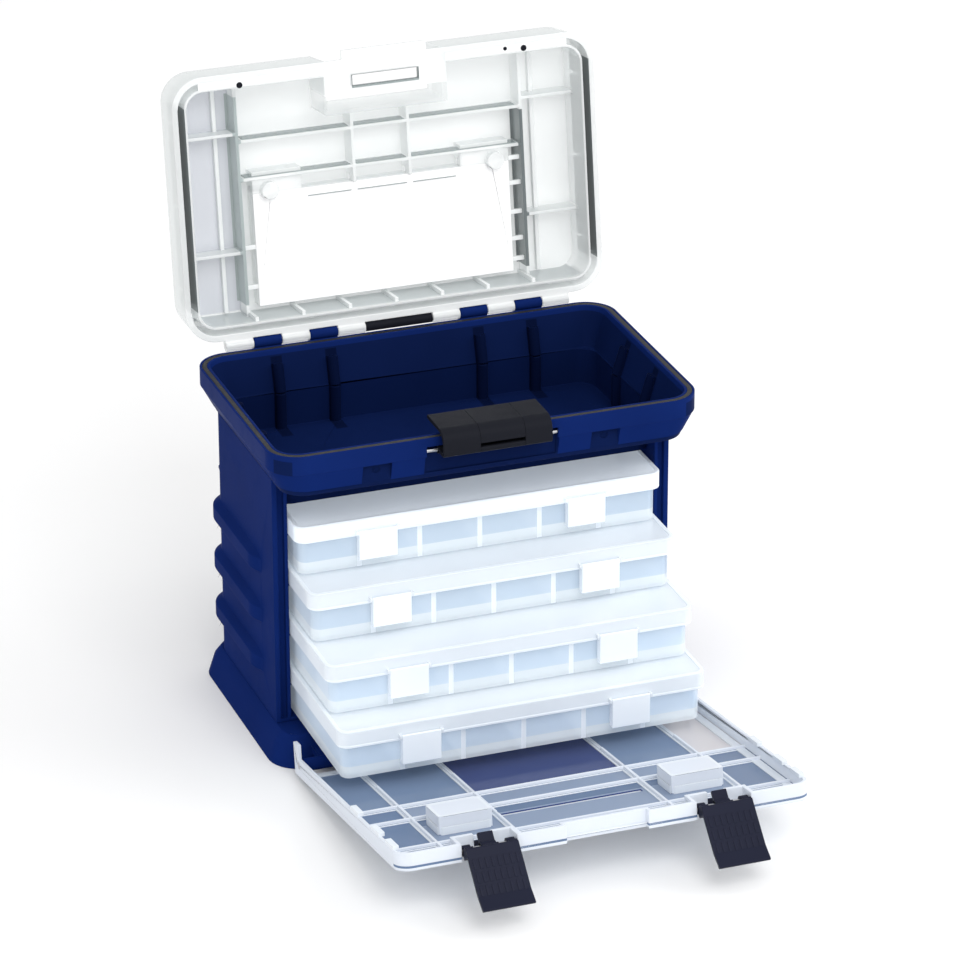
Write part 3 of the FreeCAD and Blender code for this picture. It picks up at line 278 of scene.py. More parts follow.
# --- materials ----------------------------------------------------------------------------------------
def moulded_plastic(name, colour, roughness, drift=0.15, scuff=0.12, peel=0.02, specular=0.5):
    """Opaque moulded plastic: drift is its flow marks, scuff its wear and peel its orange-peel bump."""
    material = bpy.data.materials.new(name)
    material.use_nodes = True
    tree = material.node_tree
    shader = tree.nodes["Principled BSDF"]
    grain = tree.nodes.new("ShaderNodeGroup")
    grain.name = "Grain"
    grain.node_tree = moulding_grain()
    for label, value in (("Colour", (*colour, 1)), ("Drift", drift), ("Roughness", roughness),
                         ("Scuff", scuff)):
        feed(tree, grain.inputs[label], value)
    bump = tree.nodes.new("ShaderNodeBump")
    for label, value in (("Strength", peel), ("Distance", 0.2 * MM), ("Height", grain.outputs["Height"])):
        feed(tree, bump.inputs[label], value)
    for label, value in (("Base Color", grain.outputs["Colour"]), ("Roughness", grain.outputs["Roughness"]),
                         ("Normal", bump.outputs["Normal"]), ("Specular IOR Level", specular)):
        feed(tree, shader.inputs[label], value)
    return material


def clear_plastic(name, colour, along, faced, edge, painted_glow=0.0, frame_at=((0, 0, 0), 0), zones=(),
                  specular=0.5, turned=0.40):
    """Milky clear plastic: a wall seen along its length takes another tint and density.

    Colour and faced are the tint and density of a wall met squarely, along and edge those of one seen along
    its length, and turned is where one starts to pass into the other. Each zone is (middle, half, colour,
    faced) of a box in the frame of frame_at, which is an origin and a turn about X; the zones hold painted
    shade, reflections and a highlight, and a few make a patch clearer or denser. The glow is painted
    light: the wall gives off a faint light of its own colour.
    """
    material = moulded_plastic(name, colour, 0.12, drift=0.04, scuff=0.06, peel=0.015, specular=specular)
    tree = material.node_tree
    shader, grain = tree.nodes["Principled BSDF"], tree.nodes["Grain"]
    layer = tree.nodes.new("ShaderNodeLayerWeight")
    layer.inputs["Blend"].default_value = 0.35
    view = stretched(tree, layer.outputs["Facing"], turned, 1)
    tint, density = (*colour, 1), faced
    place = turned_frame(tree, *frame_at) if zones else None
    for middle, half, zone_colour, zone_faced in zones:
        mask = box_mask(tree, place, middle, half)
        tint = mixed(tree, "RGBA", mask, tint, (*zone_colour, 1))
        density = mixed(tree, "FLOAT", mask, density, zone_faced)
    feed(tree, grain.inputs["Colour"], mixed(tree, "RGBA", view, tint, (*along, 1)))
    opacity = tree.nodes.new("ShaderNodeGroup")
    opacity.node_tree = edge_density()
    for label, value in (("Edge", edge), ("Cloud", 0.08), ("Faced", density), ("Along", view)):
        feed(tree, opacity.inputs[label], value)
    for label, value in (("Alpha", opacity.outputs["Alpha"]), ("Emission Color", (*colour, 1)),
                         ("Emission Strength", painted_glow)):
        feed(tree, shader.inputs[label], value)
    return material


def bare_steel(name, colour):
    """Plain drawn steel for pins and screws."""
    material = moulded_plastic(name, colour, 0.3, drift=0.1, scuff=0.1, peel=0.03)
    material.node_tree.nodes["Principled BSDF"].inputs["Metallic"].default_value = 1
    return material


def zone(x, y, z, tint, faced):
    """A tinted box between the low and high of X and Y, with Z as its middle and half depth."""
    middle = ((x[0] + x[1]) / 2 * MM, (y[0] + y[1]) / 2 * MM, z[0] * MM)
    return middle, ((x[1] - x[0]) / 2 * MM, (y[1] - y[0]) / 2 * MM, z[1] * MM), tint, faced


def shaded_tub(finish):
    """The case's blue with painted shade: darker inside the tub, darkest on its floor and its ribs."""
    material = moulded_plastic("Tub moulding with painted shade", finish.case_blue, 0.34, drift=0.25, specular=0.006)
    tree = material.node_tree
    place = tree.nodes.new("ShaderNodeTexCoord").outputs["Object"]
    centre, height, floor_height, back_wall, side_wall = -1.5, 176, 150, 66, 116
    rib_half, rib_deep, rib_tall = 3.6, 14, 27
    shade_areas = [((0, centre, height), (132, 80, 28), finish.tub_shade_blue)]
    shade_areas += [((x, back_wall, height), (rib_half, rib_deep, rib_tall), finish.tub_rib_shade)
              for x in (-83, -48, 48, 83)]
    shade_areas += [((side * side_wall, y, height), (rib_deep, rib_half, rib_tall), finish.tub_rib_shade)
              for side in SIDES for y in (-25, 20)]
    shade_areas += [((0, centre, floor_height), (side_wall, 63, 5), finish.tub_floor_shade)]
    colour = (*finish.case_blue, 1)
    for middle, half, tint in shade_areas:
        inside = box_mask(tree, place, [size * MM for size in middle], [size * MM for size in half])
        colour = mixed(tree, "RGBA", inside, colour, (*tint, 1))
    feed(tree, tree.nodes["Grain"].inputs["Colour"], colour)
    return material


def painted_window_shades(finish):
    """Painted shade on the thin upper part of each box's front, a little lighter on the lower boxes, and pale
    strips at the cross walls.
    """
    below_pin, half_height, wall_half, stack_half = 10 * MM, 7 * MM, 1.5 * MM, 0.1
    anywhere = 1
    windows = []
    for number, painted_lift in zip(BOX_NUMBERS, (1, 1.05, 1.12, 1.16)):
        pin_height = JOINT["tray_%d_latch_l_hinge" % number]["pos_m"][2]
        windows.append(((0, 0, pin_height - below_pin), (anywhere, anywhere, half_height),
                        Vector(finish.box_window_shade) * painted_lift, 0.42))
    for x in (-76, -38, 0, 38, 76):
        windows.append(((x * MM, 0, stack_half), (wall_half, anywhere, stack_half), finish.box_white, 0.72))
    return windows


def door_zones(finish):
    """The door's panels and slot: painted reflection and shade, for what each one mirrors and shows through,
    on its inner face as a tint and a density.
    """
    face = (DOOR["face"], 0.7)
    inner, outer = DOOR["ribs"]
    half, near, far, strip = 126.2, -10, -182, 11
    first, second, third = (-along for along in DOOR["cross_ribs"])
    slot = ((-46.9, 42.9), (-127.9, -124.1))
    return [zone(x, y, face, tint, faced) for x, y, tint, faced in (
        ((-inner, inner), (first, near), finish.door_shade, 0.96),
        ((inner, outer), (first, near), finish.door_side_reflection, 0.93),
        ((-half, -inner), (first, near), finish.door_side_reflection, 0.94),
        ((outer, half), (first, near), finish.door_far_highlight, 0.86),
        ((-outer, outer), (second, first), finish.door_pale_reflection, 0.84),
        ((-outer, outer), (second - strip, second), finish.door_clear, 0.74),
        ((-outer, outer), (third, second - strip), finish.door_pale_reflection, 0.84),
        ((-outer, outer), (far, third), finish.door_clear, 0.74),
        (*slot, finish.door_shade, 0.98),
        ((-half, -outer), (far, first), finish.door_clear, 0.84),
        ((outer, half), (far, first), finish.door_clear, 0.76))]


def lid_zones(finish):
    """Painted shade on the lid's roof strip, channels, long ribs, rear wall and slot, its clear catch bay and
    white recess.
    """
    roof, channel, rib, rear_wall = (26.6, 2.2), (10.3, 12.6), (20, 9), (14, 12.5)
    bay, slot, recess = (13, 15.5), (0.4, 2.6), (17.7, 2.4)
    channel_inner, channel_outer, channel_run = 127.6, 131.9, (-150, -24)
    rib_inner, rib_outer, recess_side = 89, 94, 83
    strip_shade_grey, rear_wall_shade_grey = (0.66, 0.68, 0.73), (0.52, 0.55, 0.56)
    near_white, white = (0.95, 0.97, 0.97), (1, 1, 1)
    return [zone(*spec) for spec in (
        ((-126, -92.5), (-160, -14), roof, strip_shade_grey, 0.85),
        ((-channel_outer, -channel_inner), channel_run, channel, finish.channel_shade, 0.95),
        ((channel_inner, channel_outer), channel_run, channel, finish.channel_shade, 0.95),
        ((-rib_outer, -rib_inner), (-150, -20), rib, finish.lid_edge_and_shade, 0.9),
        ((rib_inner, rib_outer), (-120, -20), rib, finish.channel_shade, 0.92),
        ((-124, 124), (-14.6, -12.2), rear_wall, rear_wall_shade_grey, 0.95),
        ((-40, 40), (-147, -134), bay, near_white, 0.06),
        ((-21.6, 21.6), (-158.4, -151.1), slot, finish.channel_shade, 0.95),
        ((-recess_side, recess_side), (-88, -17.5), recess, white, 0.97))]


FINISHES = {}


def make_finishes(finish):
    """Fills FINISHES: one material for each slot of the frame and for each kind of trim."""
    blue, slate, white, lid = finish.case_blue, finish.door_latch_grey, finish.box_white, finish.lid_white
    box_edge, lid_edge_and_shade = finish.box_edge, finish.lid_edge_and_shade
    FINISHES.update({
        "case_blue": moulded_plastic("Cabinet blue moulding", blue, roughness=0.34, drift=0.25,
                                     specular=0.002),
        "tub_shade_blue": shaded_tub(finish),
        # Each glow below is painted light that the clear walls give off
        "box_clear": clear_plastic("Box clear moulding", finish.box_blue, box_edge, faced=0.40, edge=0.90,
                                   painted_glow=0.09, zones=painted_window_shades(finish)),
        "box_cap": clear_plastic("Box cap moulding", white, box_edge, faced=0.62, edge=0.92, painted_glow=0.05),
        # The top box's cap lies in shade under the tub's front and takes a copy with a stronger painted glow
        "box_cap_painted_light": clear_plastic("Box cap moulding with painted light", white, box_edge, faced=0.62, edge=0.92,
                                       painted_glow=0.20),
        "box_rim": clear_plastic("Box rim moulding", white, white, faced=0.75, edge=0.95, painted_glow=0.08),
        "box_latch": clear_plastic("Box latch moulding", white, white, faced=0.92, edge=1.0, painted_glow=0.06),
        "box_divider": clear_plastic("Divider moulding", lid, white, faced=0.85, edge=1.0, painted_glow=0.14),
        "lid_clear": clear_plastic("Lid clear moulding", lid, lid_edge_and_shade, faced=0.55, edge=0.96, painted_glow=0.05,
                                   frame_at=(LID["axis"], LID["turn"]), zones=lid_zones(finish)),
        "lid_rib": clear_plastic("Lid rib moulding", lid, lid_edge_and_shade, faced=0.85, edge=1.0, painted_glow=0.04),
        "lid_shade": clear_plastic("Lid rib shade", lid_edge_and_shade, lid_edge_and_shade, faced=0.55, edge=0.6),
        "door_clear": clear_plastic("Door clear moulding", finish.door_white, finish.door_edge, faced=0.76,
                                    edge=0.95, frame_at=(DOOR["axis"], DOOR["turn"]),
                                    zones=door_zones(finish), specular=0.10, turned=0.52),
        "door_rib": clear_plastic("Door rib moulding", white, finish.door_white, faced=0.78, edge=0.95),
        "latch_grey": moulded_plastic("Latch grey moulding", finish.latch_grey, roughness=0.38,
                                      specular=0.03),
        "door_latch": moulded_plastic("Door latch slate moulding", slate, roughness=0.34, specular=0.09),
        "seal_black": moulded_plastic("Seal black rubber", finish.seal_black, roughness=0.6, peel=0.08),
        "steel": bare_steel("Pin steel", finish.pin_steel),
    })


def finish_of(node):
    """The finish a CAD node takes."""
    if node.endswith("_dividers"):
        return FINISHES["box_divider"]
    if node == "tray_1_lid":
        return FINISHES["box_cap_painted_light"]
    if node.startswith("tray_") and node.endswith("_lid"):
        return FINISHES["box_cap"]
    if node == "bulk_tub":
        return FINISHES["tub_shade_blue"]
    return FINISHES[SLOT_OF[node]]


# --- outlines and forms -------------------------------------------------------------------------------
def mirrored(side, near, far):
    """The low and high of a span that lies near to far from the middle, on side -1 or 1."""
    return sorted((side * near, side * far))


def about(middle, half):
    """The low and high of a span from its middle and half length."""
    return middle - half, middle + half


def rounded(corners, steps=4):
    """A closed outline from corners (across, up, radius), each rounded by an arc."""
    outline = []
    for index, (across, up, radius) in enumerate(corners):
        here = Vector((across, up))
        before = (Vector(corners[index - 1][:2]) - here).normalized()
        after = (Vector(corners[(index + 1) % len(corners)][:2]) - here).normalized()
        if radius == 0:
            outline.append(here)
            continue
        half = before.angle(after) / 2
        centre = here + (before + after).normalized() * radius / sin(half)
        start = here + before * radius / tan(half) - centre
        end = here + after * radius / tan(half) - centre
        turn = start.angle(end)
        for step in range(steps + 1):
            part = turn * step / steps
            outline.append(centre + (start * sin(turn - part) + end * sin(part)) / sin(turn))
    return outline


def disc(across, up, radius, steps=4):
    """A round outline about a point."""
    return rounded([(across + radius, up + radius, radius), (across - radius, up + radius, radius),
                    (across - radius, up - radius, radius), (across + radius, up - radius, radius)], steps)


def sweep(form, stations, closed=False):
    """Skins equal rings of points one after the other; an open run gets a face at each end."""
    rings = [[form.verts.new(point) for point in station] for station in stations]
    count = len(rings[0])
    spans = list(zip(rings, rings[1:])) + ([(rings[-1], rings[0])] if closed else [])
    for near, far in spans:
        for index in range(count):
            after = (index + 1) % count
            form.faces.new((near[index], near[after], far[after], far[index]))
    if not closed:
        form.faces.new(rings[0][::-1])
        form.faces.new(rings[-1])


def prism(form, outline, left, right):
    """An outline in the Y-Z plane drawn out along X."""
    sweep(form, [[(x, y, z) for y, z in outline] for x in (left, right)])


def brick(form, x, y, z):
    """A plain box between the low and high of each axis."""
    prism(form, [(y[0], z[0]), (y[1], z[0]), (y[1], z[1]), (y[0], z[1])], *x)


def band(form, x, y, radius, width, z):
    """A flat band inside a rounded rectangle, which is given by its lows and highs."""
    least_radius, arc_steps = 0.1, 6

    def loop(inset):
        turn = max(radius - inset, least_radius)
        return rounded([(x[0] + inset, y[0] + inset, turn), (x[1] - inset, y[0] + inset, turn),
                        (x[1] - inset, y[1] - inset, turn), (x[0] + inset, y[1] - inset, turn)], arc_steps)
    sweep(form, [[(*outer, z[0]), (*outer, z[1]), (*inner, z[1]), (*inner, z[0])]
                 for outer, inner in zip(loop(0), loop(width))], closed=True)


# --- pieces -------------------------------------------------------------------------------------------
def at_screw(place):
    """True by a screw hole, where a rounded edge would crease the wall from hole to hole."""
    across, up = place.x / MM, place.z / MM
    return any(abs(across - x) + abs(up - SCREWS["height"]) < SCREWS["clear"] for x in SCREWS["across"])


def smooth_edges(piece, width, steps):
    """Rounds the hard edges of a piece by a width in millimetres and keeps its flat faces flat."""
    if width:
        bevel = piece.modifiers.new("Rounded edges", "BEVEL")
        bevel.width, bevel.segments, bevel.limit_method = width * MM, steps, "ANGLE"
        bevel.angle_limit, bevel.use_clamp_overlap = HARD_EDGE, False
    else:
        piece.data.set_sharp_from_angle(angle=HARD_EDGE)
    even = piece.modifiers.new("Even faces", "WEIGHTED_NORMAL")
    even.mode, even.keep_sharp = "FACE_AREA", True


def softened(node, width, steps):
    """Makes a copy that stands for the node, doubles merged and hard edges rounded by a width in metres."""
    weld = 0.002 * MM
    mesh = bpy.data.meshes.new(node + "_soft")
    form = bmesh.new()
    form.from_mesh(frame["nodes"][node].data)
    bmesh.ops.remove_doubles(form, verts=form.verts, dist=weld)
    weight = form.edges.layers.float.new("bevel_weight_edge")
    for edge in form.edges:
        if edge.calc_face_angle(0) > HARD_EDGE and not at_screw(edge.verts[0].co):
            edge[weight] = 1
    form.to_mesh(mesh)
    form.free()
    mesh.materials.clear()
    mesh.materials.append(finish_of(node))
    mesh.shade_smooth()
    piece = bpy.data.objects.new(node + "_soft", mesh)
    bpy.context.scene.collection.objects.link(piece)
    smooth_edges(piece, width / MM, steps)
    piece.modifiers["Rounded edges"].limit_method = "WEIGHT"
    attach(piece, BODY_OF[node])
    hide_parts(node)


def dressed(node):
    """Puts the node's own finish on it and leaves its shape alone."""
    for slot in frame["nodes"][node].material_slots:
        slot.material = finish_of(node)


def place_at(origin, turn=0.0):
    """From millimetres in a piece's own turned frame to metres in the scene."""
    return Matrix.Translation(Vector(origin)) @ Matrix.Rotation(turn, 4, "X") @ Matrix.Scale(MM, 4)


def piece_of(name, form, matrix, body, finish, width=0.0, stands_for=()):
    """Turns a form into a finished piece that rides on a body; width rounds its edges, in millimetres."""
    bmesh.ops.transform(form, matrix=matrix, verts=form.verts)
    bmesh.ops.recalc_face_normals(form, faces=form.faces)
    mesh = bpy.data.meshes.new(name)
    form.to_mesh(mesh)
    form.free()
    mesh.materials.append(FINISHES[finish])
    mesh.shade_smooth()
    piece = bpy.data.objects.new(name, mesh)
    bpy.context.scene.collection.objects.link(piece)
    smooth_edges(piece, width, steps=2)
    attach(piece, body)
    for node in stands_for:
        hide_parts(node)


class OBJECT_OT_cabinet_finishes(bpy.types.Operator):
    """Make every finish of the cabinet"""

    bl_idname = "object.cabinet_finishes"
    bl_label = "Finishes"

    def execute(self, context):
        make_finishes(context.scene.cabinet_finish)
        return {"FINISHED"}


class OBJECT_OT_cabinet_shell(bpy.types.Operator):
    """Dress the plinth, case and tub in blue"""

    bl_idname = "object.cabinet_shell"
    bl_label = "Shell and tub"

    def execute(self, context):
        finish = context.scene.cabinet_finish
        for node in CASE_NODES:
            softened(node, finish.edge_round, finish.edge_steps)
        self.fairing()
        return {"FINISHED"}

    def fairing(self):
        """The sloped run from the rim's skirt down to the fascia, open at the bay and the latch keepers."""
        keeper_inner, keeper_outer, bay_half = 62.5, 80.5, 42
        stops = (keeper_outer, keeper_inner, bay_half, -bay_half, -keeper_inner, -keeper_outer)
        high, low, inward, touch, arc_steps = 195.1, 183, 0.99, 0.01, 8

        def loop(half, front, back, radius):
            """The stops on a rounded rectangle's front, and its run from there round the back."""
            corners = rounded([(-half, front, radius), (-half, back, radius), (half, back, radius),
                               (half, front, radius)], arc_steps)
            turn = next(index for index, point in enumerate(corners) if point[1] > front + touch) - 1
            return [Vector((x, front)) for x in stops], corners[turn:] + corners[:turn]
        rim_stops, rim = loop(half=134.2, front=-83.2, back=80.7, radius=20)
        fascia_stops, fascia = loop(half=127.9, front=-79.9, back=74.9, radius=17)

        def ring(outer, inner):
            """One section: the rim's edge, the fascia's edge, and a point inside the case."""
            return [(*outer, high), (*inner, low), (*(inner * inward), high)]
        form = bmesh.new()
        ends = [ring(*pair) for pair in zip(rim_stops, fascia_stops)]
        sweep(form, [ends[-1]] + [ring(outer, inner) for outer, inner in zip(rim, fascia)] + [ends[0]])
        sweep(form, [ends[1], ends[2]])
        sweep(form, [ends[3], ends[4]])
        piece_of("rim_fairing", form, place_at((0, 0, 0)), "cabinet", "case_blue")


class OBJECT_OT_cabinet_clear(bpy.types.Operator):
    """Dress the lid, its handle and the door"""

    bl_idname = "object.cabinet_clear"
    bl_label = "Lid and door"

    def execute(self, context):
        finish = context.scene.cabinet_finish
        for node in HINGED_NODES:
            softened(node, finish.edge_round, finish.edge_steps)
        lid_place = place_at(LID["axis"], LID["turn"])
        self.lid_ribs(lid_place)
        self.lid_rib_shades(lid_place)
        self.lid_hole_shades(lid_place)
        self.door_bands(place_at(DOOR["axis"], DOOR["turn"]))
        return {"FINISHED"}

    def lid_ribs(self, place):
        """Ribs on the lid's rear wall, white plates on its front lip, side ribs and channel bridges."""
        form = bmesh.new()
        rib_pitch, rib_half, rib_depth, rib_rise = 30, 1.1, (-15.6, -12.8), (0.4, 27)
        for step in range(-3, 4):
            brick(form, about(step * rib_pitch, rib_half), rib_depth, rib_rise)
        plate_inner, plate_outer, plate_run, plate_rise = 39, 118, (-164.6, -159.6), (-1.7, -0.4)
        for side in SIDES:
            brick(form, mirrored(side, plate_inner, plate_outer), plate_run, plate_rise)
        side_inner, side_outer, side_run, side_rise = 101, 103.4, (-155, -14), (24, 27.6)
        for side in SIDES:
            brick(form, mirrored(side, side_inner, side_outer), side_run, side_rise)
        bridge_long, bridge_half, bridge_rise = 7.5, 1.4, (17, 19.5)
        for x, places in ((83, (89.5, 73.5, 55, 38, 25)), (-90.5, (55, 30))):
            for along in places:
                brick(form, (x, x + bridge_long), about(-along, bridge_half), bridge_rise)
        piece_of("lid_ribs", form, place, "lid", "lid_rib", width=0.3)

    def lid_rib_shades(self, place):
        """Dark sheets of painted shade on the sides of the cross ribs and the recess, open at the long ribs,
        and in the front slot.
        """
        form = bmesh.new()
        open_from, open_to, near, far = 16, 20, 1.05, 1.5
        rib_rise, recess_rise = (15.2, 23.8), (15.9, 16.5)
        for along, rise, end in ((98, rib_rise, 88), (122, rib_rise, 88), (81.6, recess_rise, 48)):
            for x in ((-end, -open_to), (-open_from, open_from), (open_to, end)):
                brick(form, x, (-along - far, -along - near), rise)
        slot_across, slot_run, slot_rise = (-21.5, 21.5), (-151.3, -150.2), (-2.0, -1.72)
        brick(form, slot_across, slot_run, slot_rise)
        piece_of("lid_rib_shades", form, place, "lid", "lid_shade")

    def lid_hole_shades(self, place):
        """Dark discs of painted shade in the holes of the lid's front lip."""
        form = bmesh.new()
        rise = (-1.9, -1.4)
        for x, along, radius in ((-92.3, 160.6, 1.9), (77.8, 162.6, 1.2), (89.8, 161.6, 1.9)):
            sweep(form, [[(*point, out) for point in disc(x, -along, radius)] for out in rise])
        piece_of("lid_hole_shades", form, place, "lid", "latch_grey")

    def door_bands(self, place):
        """Milky bands along the door's edges and ribs, pale rims of painted highlight round its finger boxes,
        and the stops on its side walls.
        """
        form = bmesh.new()
        face, whole_width = DOOR["face"], (-120, 120)
        sunk = face - 0.2
        edge_rise, rib_rise, cross_rise = (sunk, face + 0.7), (sunk, face + 0.6), (sunk, face + 0.5)
        front_edge, hinge_edge, side_run = (-179.2, -173.7), (-13.5, -8), (-176, -12)
        side_inner, side_outer, corner_inner, corner_outer, middle_half = 117.9, 123.4, 91, 118, 52
        for side in SIDES:
            brick(form, mirrored(side, side_inner, side_outer), side_run, edge_rise)
            brick(form, mirrored(side, corner_inner, corner_outer), front_edge, edge_rise)
        brick(form, (-middle_half, middle_half), front_edge, edge_rise)
        brick(form, whole_width, hinge_edge, edge_rise)
        (inner, outer), rib_run, rib_half, cross_half = DOOR["ribs"], (-176, -8), 2.2, 1.8
        for x in (-outer, -inner, inner, outer):
            brick(form, about(x, rib_half), rib_run, rib_rise)
        for along in DOOR["cross_ribs"]:
            brick(form, whole_width, about(-along, cross_half), cross_rise)
        # Painted highlight: pale rims round the top and front edges of each finger box
        for hinge in ("door_latch_l_hinge", "door_latch_r_hinge"):
            x = JOINT[hinge]["pos_m"][0] / MM
            band(form, about(x, 16.4), (-142.2, -118.8), radius=3, width=2.4, z=(6.6, 7.06))
            band(form, about(x, 16.7), (-142.4, -118.6), radius=3, width=0.5, z=(face, 0.4))
        stop_inner, stop_outer, stop_half, stop_rise = 122.2, 126, 7, (3.6, 6.2)
        for side in SIDES:
            for along in (104, 141, 166):
                brick(form, mirrored(side, stop_inner, stop_outer), about(-along, stop_half), stop_rise)
        piece_of("door_bands", form, place, "door", "door_rib", width=0.3)


class OBJECT_OT_cabinet_latches(bpy.types.Operator):
    """Build the lid latch and the two door latches"""

    bl_idname = "object.cabinet_latches"
    bl_label = "Latches"

    def execute(self, context):
        self.lid_latch()
        for side in ("left", "right"):
            self.door_latch(side)
        return {"FINISHED"}

    def lid_latch(self):
        """A C-shaped shell with a finger slot low in its front, hooked over the rim."""
        form = bmesh.new()
        front, back, low, top, wall, half = -11.8, 18.2, -1.3, 14.9, 2.4, 34
        curve, foot, root, tip, arc_steps = 8.5, 2.4, 0.8, 1, 6
        slot_low, slot_high, slot_left, slot_right = 2.6, 5.0, -11, 17
        inner, web, roof = curve - wall, low + wall, top - wall
        over = [(back, top, tip), (front, top, curve)]
        under = [(front, low, foot), (0, low, 0), (0, web, 0), (front + wall, web, root)]
        return_run = [(front + wall, roof, inner), (back, roof, tip)]
        shell = rounded(over + under + return_run, arc_steps)
        upper = rounded(over + [(front, slot_high, 0), (front + wall, slot_high, 0)] + return_run, arc_steps)
        lower = rounded(under + [(front + wall, slot_low, 0), (front, slot_low, 0)], arc_steps)
        prism(form, shell, -half, slot_left)
        prism(form, upper, slot_left, slot_right)
        prism(form, lower, slot_left, slot_right)
        prism(form, shell, slot_right, half)
        stop_across, stop_depth, stop_low, pin_radius = (-19, 19), (10.4, 12.8), 8.4, 2.6
        brick(form, stop_across, stop_depth, (stop_low, top - wall / 2))
        prism(form, disc(0, 0, pin_radius), -half, half)
        piece_of("lid_latch_shell", form, place_at(JOINT["lid_latch_hinge"]["pos_m"]), "lid_catch",
                 "latch_grey", width=0.35, stands_for=("lid_latch",))

    def door_latch(self, side):
        """A hanging plate with knuckles, a tongue, a hook, raised grip bars and a curled end."""
        node = "door_latch_" + side
        pivot = JOINT["door_latch_%s_hinge" % side[0]]["pos_m"]
        hang = radians(44)
        form = bmesh.new()
        near, thick, half, end, bend, curl = 5.8, 2.4, 15.8, -39.6, -30, 2.2
        far = near + thick
        plate = rounded([(-1, near, 0), (-1, far, 1), (bend, far, 9), (end, far + curl, 0.8),
                         (end, near + curl, 0.8), (bend, near, 7)], 5)
        prism(form, plate, -half, half)
        knuckle, tongue, outer_knuckle = disc(0, 0, 3.2, 6), (-4.5, 4.5), 10.8
        arm_run, arm_rise, link_run, link_rise = (-5.8, 0), (0, near + thick / 2), (0, 8.8), (-1.3, 1.3)
        for left, right in ((-half, -outer_knuckle), tongue, (outer_knuckle, half)):
            prism(form, knuckle, left, right)
            brick(form, (left, right), arm_run, arm_rise)
        stem_half, hook_end, hook_deep, hook_thick = 0.75, 8, -12.1, 1.5
        brick(form, tongue, link_run, link_rise)
        brick(form, tongue, (-stem_half, stem_half), (hook_deep, 0))
        brick(form, tongue, (-stem_half, hook_end), (hook_deep, hook_deep + hook_thick))
        rise, sunk, bar, gap, row, first, lines, margin = 0.35, 0.2, 2.2, 1.5, 8, -8, 3, 1
        columns = int(2 * (half - margin) // (bar + gap))
        span = columns * (bar + gap) - gap
        for line in range(lines):
            for column in range(columns):
                x = -span / 2 + column * (bar + gap)
                y = first - line * row
                brick(form, (x, x + bar), (y - row + gap, y), (far - sunk, far + rise))
        piece_of(node + "_plate", form, place_at(pivot, hang), BODY_OF[node], "door_latch",
                 width=0.3, stands_for=(node,))


class OBJECT_OT_cabinet_boxes(bpy.types.Operator):
    """Dress the four slide-out boxes"""

    bl_idname = "object.cabinet_boxes"
    bl_label = "Slide-out boxes"

    def execute(self, context):
        finish = context.scene.cabinet_finish
        finer = 0.6
        for node in BOX_NODES:
            softened(node, finer * finish.edge_round, finish.edge_steps)
        for number in BOX_NUMBERS:
            box = "tray_%d" % number
            self.cap_rim(box)
            for side in ("left", "right"):
                self.front_latch(box, side)
        return {"FINISHED"}

    def cap_rim(self, box):
        """The raised rim on the box's cap and the bead round its edge."""
        pin = JOINT[box + "_latch_l_hinge"]["pos_m"]
        pin_ahead, pin_height = 1.6 * MM, 24.5 * MM
        form = bmesh.new()
        band(form, (-115.6, 115.6), (0.4, 126.6), radius=6.6, width=2.4, z=(31.6, 32.2))
        band(form, (-115.9, 115.9), (-0.35, 127), radius=7, width=1.2, z=(21.75, 23.2))
        place = place_at((0, pin[1] + pin_ahead, pin[2] - pin_height))
        piece_of(box + "_cap_rim", form, place, box, "box_rim", width=0.2)

    def front_latch(self, box, side):
        """A plate with a turned-up foot, a cheek at each end and the pin it swings on."""
        node = box + "_latch_" + side
        form = bmesh.new()
        face, back, top, foot, foot_top, lip = -1.3, 0.2, 1.3, -18, -16.5, 4.2
        corner, tight, half, cheek = 0.7, 0.2, 12, 1
        plate = rounded([(face, top, corner), (face, foot, corner), (lip, foot, tight),
                         (lip, foot_top, tight), (back, foot_top, 0.4), (back, top, corner)])
        prism(form, plate, -half, half)
        cheek_high, cheek_low = ((0.1, 1.2), (-3.6, 0)), ((0.1, 3.9), (-16.6, -3.5))
        for left in (-half, half - cheek):
            brick(form, (left, left + cheek), *cheek_high)
            brick(form, (left, left + cheek), *cheek_low)
        pin_radius, pin_half = 0.85, 13.55
        prism(form, disc(0, 0, pin_radius), -pin_half, pin_half)
        piece_of(node + "_plate", form, place_at(JOINT[box + "_latch_" + side[0] + "_hinge"]["pos_m"]),
                 BODY_OF[node], "box_latch", width=0.25, stands_for=(node,))


class OBJECT_OT_cabinet_fixings(bpy.types.Operator):
    """Dress pins, screws, sleeve and seal"""

    bl_idname = "object.cabinet_fixings"
    bl_label = "Pins, screws and seal"

    def execute(self, context):
        done = set(CASE_NODES + HINGED_NODES + LATCH_NODES + BOX_NODES + BOX_LATCH_NODES)
        for node in frame["nodes"]:
            if node not in done:
                dressed(node)
        return {"FINISHED"}


